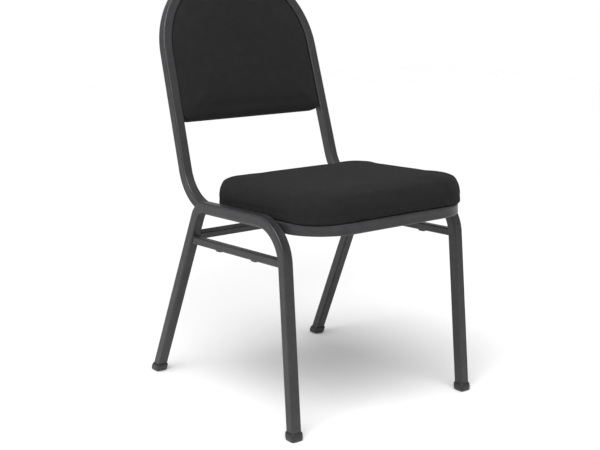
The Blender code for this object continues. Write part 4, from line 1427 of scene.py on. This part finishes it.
# Across, up the hoop's plane from the pad's bottom, and out to the front.
PAD_PLACE = (Matrix.Translation(on_hoop(0.0, PAD_BOTTOM_Z))
             @ Matrix.Rotation(math.pi / 2 - HOOP_LEAN, 4, "X"))
hoop_taper = (RING_HALF_WIDTH - HOOP_TOP_HALF_WIDTH) / (crown - hoop_foot).length
pad_height = (crown - PAD_PLACE.translation).length
INSIDE = TUBE / 2 + PAD_CLEAR
low_half = HOOP_TOP_HALF_WIDTH + hoop_taper * (pad_height + INSIDE)
BACK_CORNERS = [(-low_half, -INSIDE), (low_half, -INSIDE),
                (HOOP_TOP_HALF_WIDTH, pad_height), (-HOOP_TOP_HALF_WIDTH, pad_height)]
BACK_RADII = [PAD_CORNER + INSIDE] * 2 + [dome_radius - FACE_GAP] * 2

places, nodes, runs = [], [], []
for level, height in TAB_HEIGHTS.items():
    half_width = HOOP_TOP_HALF_WIDTH + hoop_taper * (pad_height - height - TAB_WIDTH / 2)
    hoop_inside = half_width - TUBE / 2
    for side, sign in SIDES.items():
        name = f"{level}_{side}"
        spot = sign * (hoop_inside - BACK_SCREW_IN)
        free, welded = sign * (hoop_inside - TAB_REACH), sign * hoop_inside
        low_edge, high_edge = height - TAB_WIDTH / 2, height + TAB_WIDTH / 2
        nose = [(free + sign * TAB_NOSE * (1 - math.cos(t)),
                 high_edge - TAB_NOSE * (1 - math.sin(t)))
                for t in (math.pi / 2 / NOSE_STEPS * k for k in range(NOSE_STEPS + 1))]
        outline = [(welded, low_edge), (welded, high_edge), *reversed(nose),
                   *((x, 2 * height - y) for x, y in nose)]
        if sign < 0:
            outline.reverse()
        hole = ring_of(spot, height, BACK_HOLE, HOLE_SPLINE_STEPS)
        tab = plate(f"back_tab_{name}_plate", outline, [hole], TAB_FRONT - TAB_THICK,
                    TAB_FRONT, TAB_ROUNDING, PAD_PLACE, POWDER_COAT)
        settle(tab, "frame_steel", f"back_tab_{name}")
        behind = Matrix.Translation((spot, height, TAB_FRONT - TAB_THICK - HEAD_GAP))
        spin = Matrix.Rotation(sign * BACK_SCREW_SPIN + height, 4, "Z")
        places.append(PAD_PLACE @ behind @ spin)
        nodes.append(f"back_screw_{name}")
        runs.append([PAD_PLACE @ Vector((welded, at, TAB_FRONT - TAB_THICK))
                     for at in (low_edge + TAB_BEAD_SHORT, high_edge - TAB_BEAD_SHORT)])

screw = pan_head_screw(**BACK_SCREW)
back_screws = fastened("back_screws", screw, places)
settle(back_screws, "zinc_plate", *nodes)
bpy.data.objects.remove(screw, do_unlink=True)
beads = grown("tab_weld_beads", route(runs, hoop_front), WELD_BEAD,
              Pitch=BEAD_PITCH, Radius=BEAD_RADIUS * TAB_BEAD, Finish=POWDER_COAT)
settle(beads, "frame_steel")


# ---------------------------------------------------------------------------------------
# Back cushion
# A thinner slab of foam on the back board, cut to the dome, under the same cloth. It sits
# inside the hoop, so only its face swells, and its lower edge is soft and round.

BACK_SLACK = 0.0006
BACK_EDGE_DEPTH = 0.0150      # of the rounded front edge
BACK_EDGE_REACH = 0.0260
BACK_SWELL = 0.0050
BACK_EDGE_STEPS = 8
BACK_UNDER = 0.0010           # how much smaller still behind the board
BACK_UNDER_RISE = 0.0015
BACK_CROWN = 0.0040
BACK_CROWN_LEVELS = ((0.040, 0.0020), (0.065, 0.0032), (0.110, BACK_CROWN))  # inset, rise
BACK_HELD = 0.0010            # the swelling starts this far before the rounded edge does
BACK_RELAX = 0.0080
BACK_SNUG = (0.0010, 0.0090)  # exact outline to here in front of the board, free from there
BACK_CUT = 0.0030
BACK_HEM = 0.0300
BACK_VOXEL = 0.0050
DOME_STEPS = 24

brow = PAD_CROWN - BACK_CROWN           # front of the rounded edge
levels = [(HEM_REAR, INSIDE + BACK_SLACK + BACK_UNDER),
          (HEM_REAR + BACK_UNDER_RISE, INSIDE + BACK_SLACK)]
for step in range(BACK_EDGE_STEPS + 1):
    turn = math.pi / 2 * step / BACK_EDGE_STEPS
    levels.append((brow - BACK_EDGE_DEPTH * (1 - math.sin(turn)),
                   INSIDE + BACK_SLACK + BACK_EDGE_REACH * (1 - math.cos(turn))))
for inset, rise in BACK_CROWN_LEVELS:
    levels.append((brow + rise, INSIDE + inset))
pad = remeshed(stacked(BACK_CORNERS, BACK_RADII, levels, DOME_STEPS), BACK_VOXEL)
before = [vert.co.copy() for vert in pad.data.vertices]
swollen(pad, brow - BACK_EDGE_DEPTH + BACK_HELD, BACK_SWELL)
relaxed(pad, BOARD_FRONT + BACK_RELAX, RELAX_ROUNDS)
for vert, start in zip(pad.data.vertices, before):
    forward = max(0.0, vert.co.z - start.z)
    vert.co = start + Vector((0.0, 0.0, forward))
front_most = max(vert.co.z for vert in pad.data.vertices)
stretch = (PAD_CROWN - HEM_REAR) / (front_most - HEM_REAR)
for vert in pad.data.vertices:
    vert.co.z = HEM_REAR + (vert.co.z - HEM_REAR) * stretch

exact, free = (BOARD_FRONT + reach for reach in BACK_SNUG)
snug(pad, BACK_CORNERS, BACK_RADII, INSIDE, exact, free)
foam = foam_piece("back_foam_slab", pad.data, BOARD_FRONT + FACE_GAP, PAD_PLACE)
settle(foam, "foam", "back_foam")
smoother(pad, 1)
snug(pad, BACK_CORNERS, BACK_RADII, INSIDE, exact, free)
fold = [(HEM_REAR + up, min(inset, BACK_HEM)) for up, inset in FOLD]
skin = hemmed(pad.data, HEM_REAR + BACK_CUT, fold)
cover = cover_piece("back_front_cover_cloth", skin, PAD_PLACE)
settle(cover, "fabric", "back_front_cover")
bpy.data.objects.remove(pad, do_unlink=True)


# ---------------------------------------------------------------------------------------
# Rear panel and its cover
# A sheet of hardboard, wrapped in the same cloth, closes the back from behind and hides
# the tabs and screws. Its cloth is turned in over the front and notched for the tabs.

PANEL_REAR = -0.0123
PANEL_FRONT = -0.0093
REAR_HEM_FRONT = PANEL_FRONT + FACE_GAP + COVER
REAR_SKIN = PANEL_REAR - FACE_GAP
REAR_EDGE = 0.0014            # radius of the wrapped edge
REAR_EDGE_STEPS = 5
REAR_HEM_INSETS = (BACK_HEM, 0.0120, 0.0040)
REAR_FLAT_INSETS = (0.006, 0.014, 0.030, 0.060, 0.110)
REAR_DOME_STEPS = 32
NOTCH_CLEAR = 0.0012          # wider than a tab by this much
NOTCH_PROUD = 0.0010          # and in front of the hem by this much
HARDBOARD_BROWN = ((0.13, 0.075, 0.040), (0.24, 0.150, 0.085))


def hardboard_finish():
    made, tree, shader = new_finish("brown_hardboard", Roughness=0.70)
    place = place_of(tree)
    fibre = noise(tree, place, 400.0, 8.0, 0.7)
    cloud = noise(tree, place, 25.0, 3.0)
    shade = ramped(tree, calc(tree, "MULTIPLY", fibre, cloud), 0.0, 1.0, 0.12, 0.40)
    tree.links.new(blended(tree, shade, *HARDBOARD_BROWN), shader.inputs["Base Color"])
    raise_bump(tree, shader, fibre, 0.00010)
    return made


refinish("back_rear_panel", hardboard_finish())

rear_levels = [(REAR_HEM_FRONT, INSIDE + inset) for inset in REAR_HEM_INSETS]
for step in range(REAR_EDGE_STEPS + 1):
    turn = math.pi / 2 * step / REAR_EDGE_STEPS
    rear_levels.append((REAR_HEM_FRONT - REAR_EDGE * (1 - math.cos(turn)),
                        INSIDE + REAR_EDGE * (1 - math.sin(turn))))
deepest = REAR_SKIN - COVER
for step in range(REAR_EDGE_STEPS + 1):
    turn = math.pi / 2 * step / REAR_EDGE_STEPS
    rear_levels.append((deepest + REAR_EDGE * (1 - math.sin(turn)),
                        INSIDE + REAR_EDGE * (1 - math.cos(turn))))
rear_levels += [(deepest, INSIDE + inset) for inset in REAR_FLAT_INSETS]
skin = stacked(BACK_CORNERS, BACK_RADII, rear_levels, REAR_DOME_STEPS)
hem_end = max(skin.faces, key=lambda face: face.calc_area() if len(face.verts) > 4
              and face.calc_center_median().z > REAR_SKIN else 0.0)
skin.faces.remove(hem_end)
rear_cover = cover_piece("back_rear_cover_cloth", skin, Matrix.Identity(4))
for level, height in TAB_HEIGHTS.items():
    half_width = HOOP_TOP_HALF_WIDTH + hoop_taper * (pad_height - height)
    for sign in SIDES.values():
        notch = bmesh.new()
        bmesh.ops.create_cube(notch, size=1.0)
        size = (TAB_REACH * 2, TAB_WIDTH + NOTCH_CLEAR,
                REAR_HEM_FRONT - REAR_SKIN + NOTCH_PROUD)
        middle = (sign * (half_width - TUBE / 2), height,
                  (REAR_HEM_FRONT + REAR_SKIN + NOTCH_PROUD) / 2)
        place = Matrix.Translation(middle) @ Matrix.Diagonal((*size, 1.0))
        notch = skin_piece("notch", notch, place, CLOTH)
        rear_cover = carved(rear_cover, notch)
rear_cover.data.transform(PAD_PLACE)
settle(rear_cover, "fabric", "back_rear_cover")
unfolded = outline_of(BACK_CORNERS, BACK_RADII, INSIDE - BACK_HEM, REAR_DOME_STEPS)


# ---------------------------------------------------------------------------------------
# Studio
# A plain pale floor and plain soft light, with the camera at the chair's front right.
# A broad sun makes the floor evenly bright; a small lamp lifts the back.

FLOOR_HALF = 6.0
FLOOR_PAINT = (0.86, 0.86, 0.86, 1.0)
SUN_ALONG = Vector((0.30, 0.42, -0.86))
floor_mesh = bpy.data.meshes.new("studio_floor")
floor_mesh.from_pydata([(x * FLOOR_HALF, y * FLOOR_HALF, 0.0)
                        for x, y in ((-1, -1), (1, -1), (1, 1), (-1, 1))], [], [(0, 1, 2, 3)])
floor = bpy.data.objects.new("studio_floor", floor_mesh)
bpy.context.scene.collection.objects.link(floor)
floor_paint, floor_tree, floor_shader = new_finish("studio_floor_paint", Roughness=0.9)
floor_shader.inputs["Base Color"].default_value = FLOOR_PAINT
floor_mesh.materials.append(floor_paint)

WALL_WHITE = 1.0              # as the camera sees the room
ROOM_LIGHT = 0.55             # what the room sheds on the chair
world = bpy.data.worlds.new("studio_room")
world.use_nodes = True
room = world.node_tree
room.nodes["Background"].inputs["Color"].default_value = (1.0, 1.0, 1.0, 1.0)
seen = add_node(room, "ShaderNodeLightPath").outputs["Is Camera Ray"]
room.links.new(ramped(room, seen, ROOM_LIGHT, WALL_WHITE),
               room.nodes["Background"].inputs["Strength"])
bpy.context.scene.world = world
bpy.context.scene.view_settings.view_transform = "Standard"


def soft_light(name, place, aim, size, power):
    lamp = bpy.data.lights.new(name, "AREA")
    lamp.shape = "SQUARE"
    lamp.size = size
    lamp.energy = power
    made = bpy.data.objects.new(name, lamp)
    made.location = place
    made.rotation_euler = (Vector(aim) - Vector(place)).to_track_quat("-Z", "Y").to_euler()
    bpy.context.scene.collection.objects.link(made)


soft_light("side_light", (-0.95, -0.60, 1.70), (-0.15, 0.25, 0.75), 0.8, 15.0)
sun = bpy.data.lights.new("key_light", "SUN")
sun.energy = 2.3
sun.angle = math.radians(50.0)
key_light = bpy.data.objects.new("key_light", sun)
key_light.rotation_euler = SUN_ALONG.to_track_quat("-Z", "Y").to_euler()
bpy.context.scene.collection.objects.link(key_light)

camera_data = bpy.data.cameras.new("camera")
camera_data.sensor_width = 36.0
camera_data.lens = 70.31
camera_data.shift_x = -0.0018
camera_data.shift_y = -0.0495
camera = bpy.data.objects.new("camera", camera_data)
camera.location = (-1.5103, -1.9627, 0.9046)
camera.rotation_euler = (math.radians(78.815), 0.0, math.radians(-37.355))
bpy.context.scene.collection.objects.link(camera)
bpy.context.scene.camera = camera
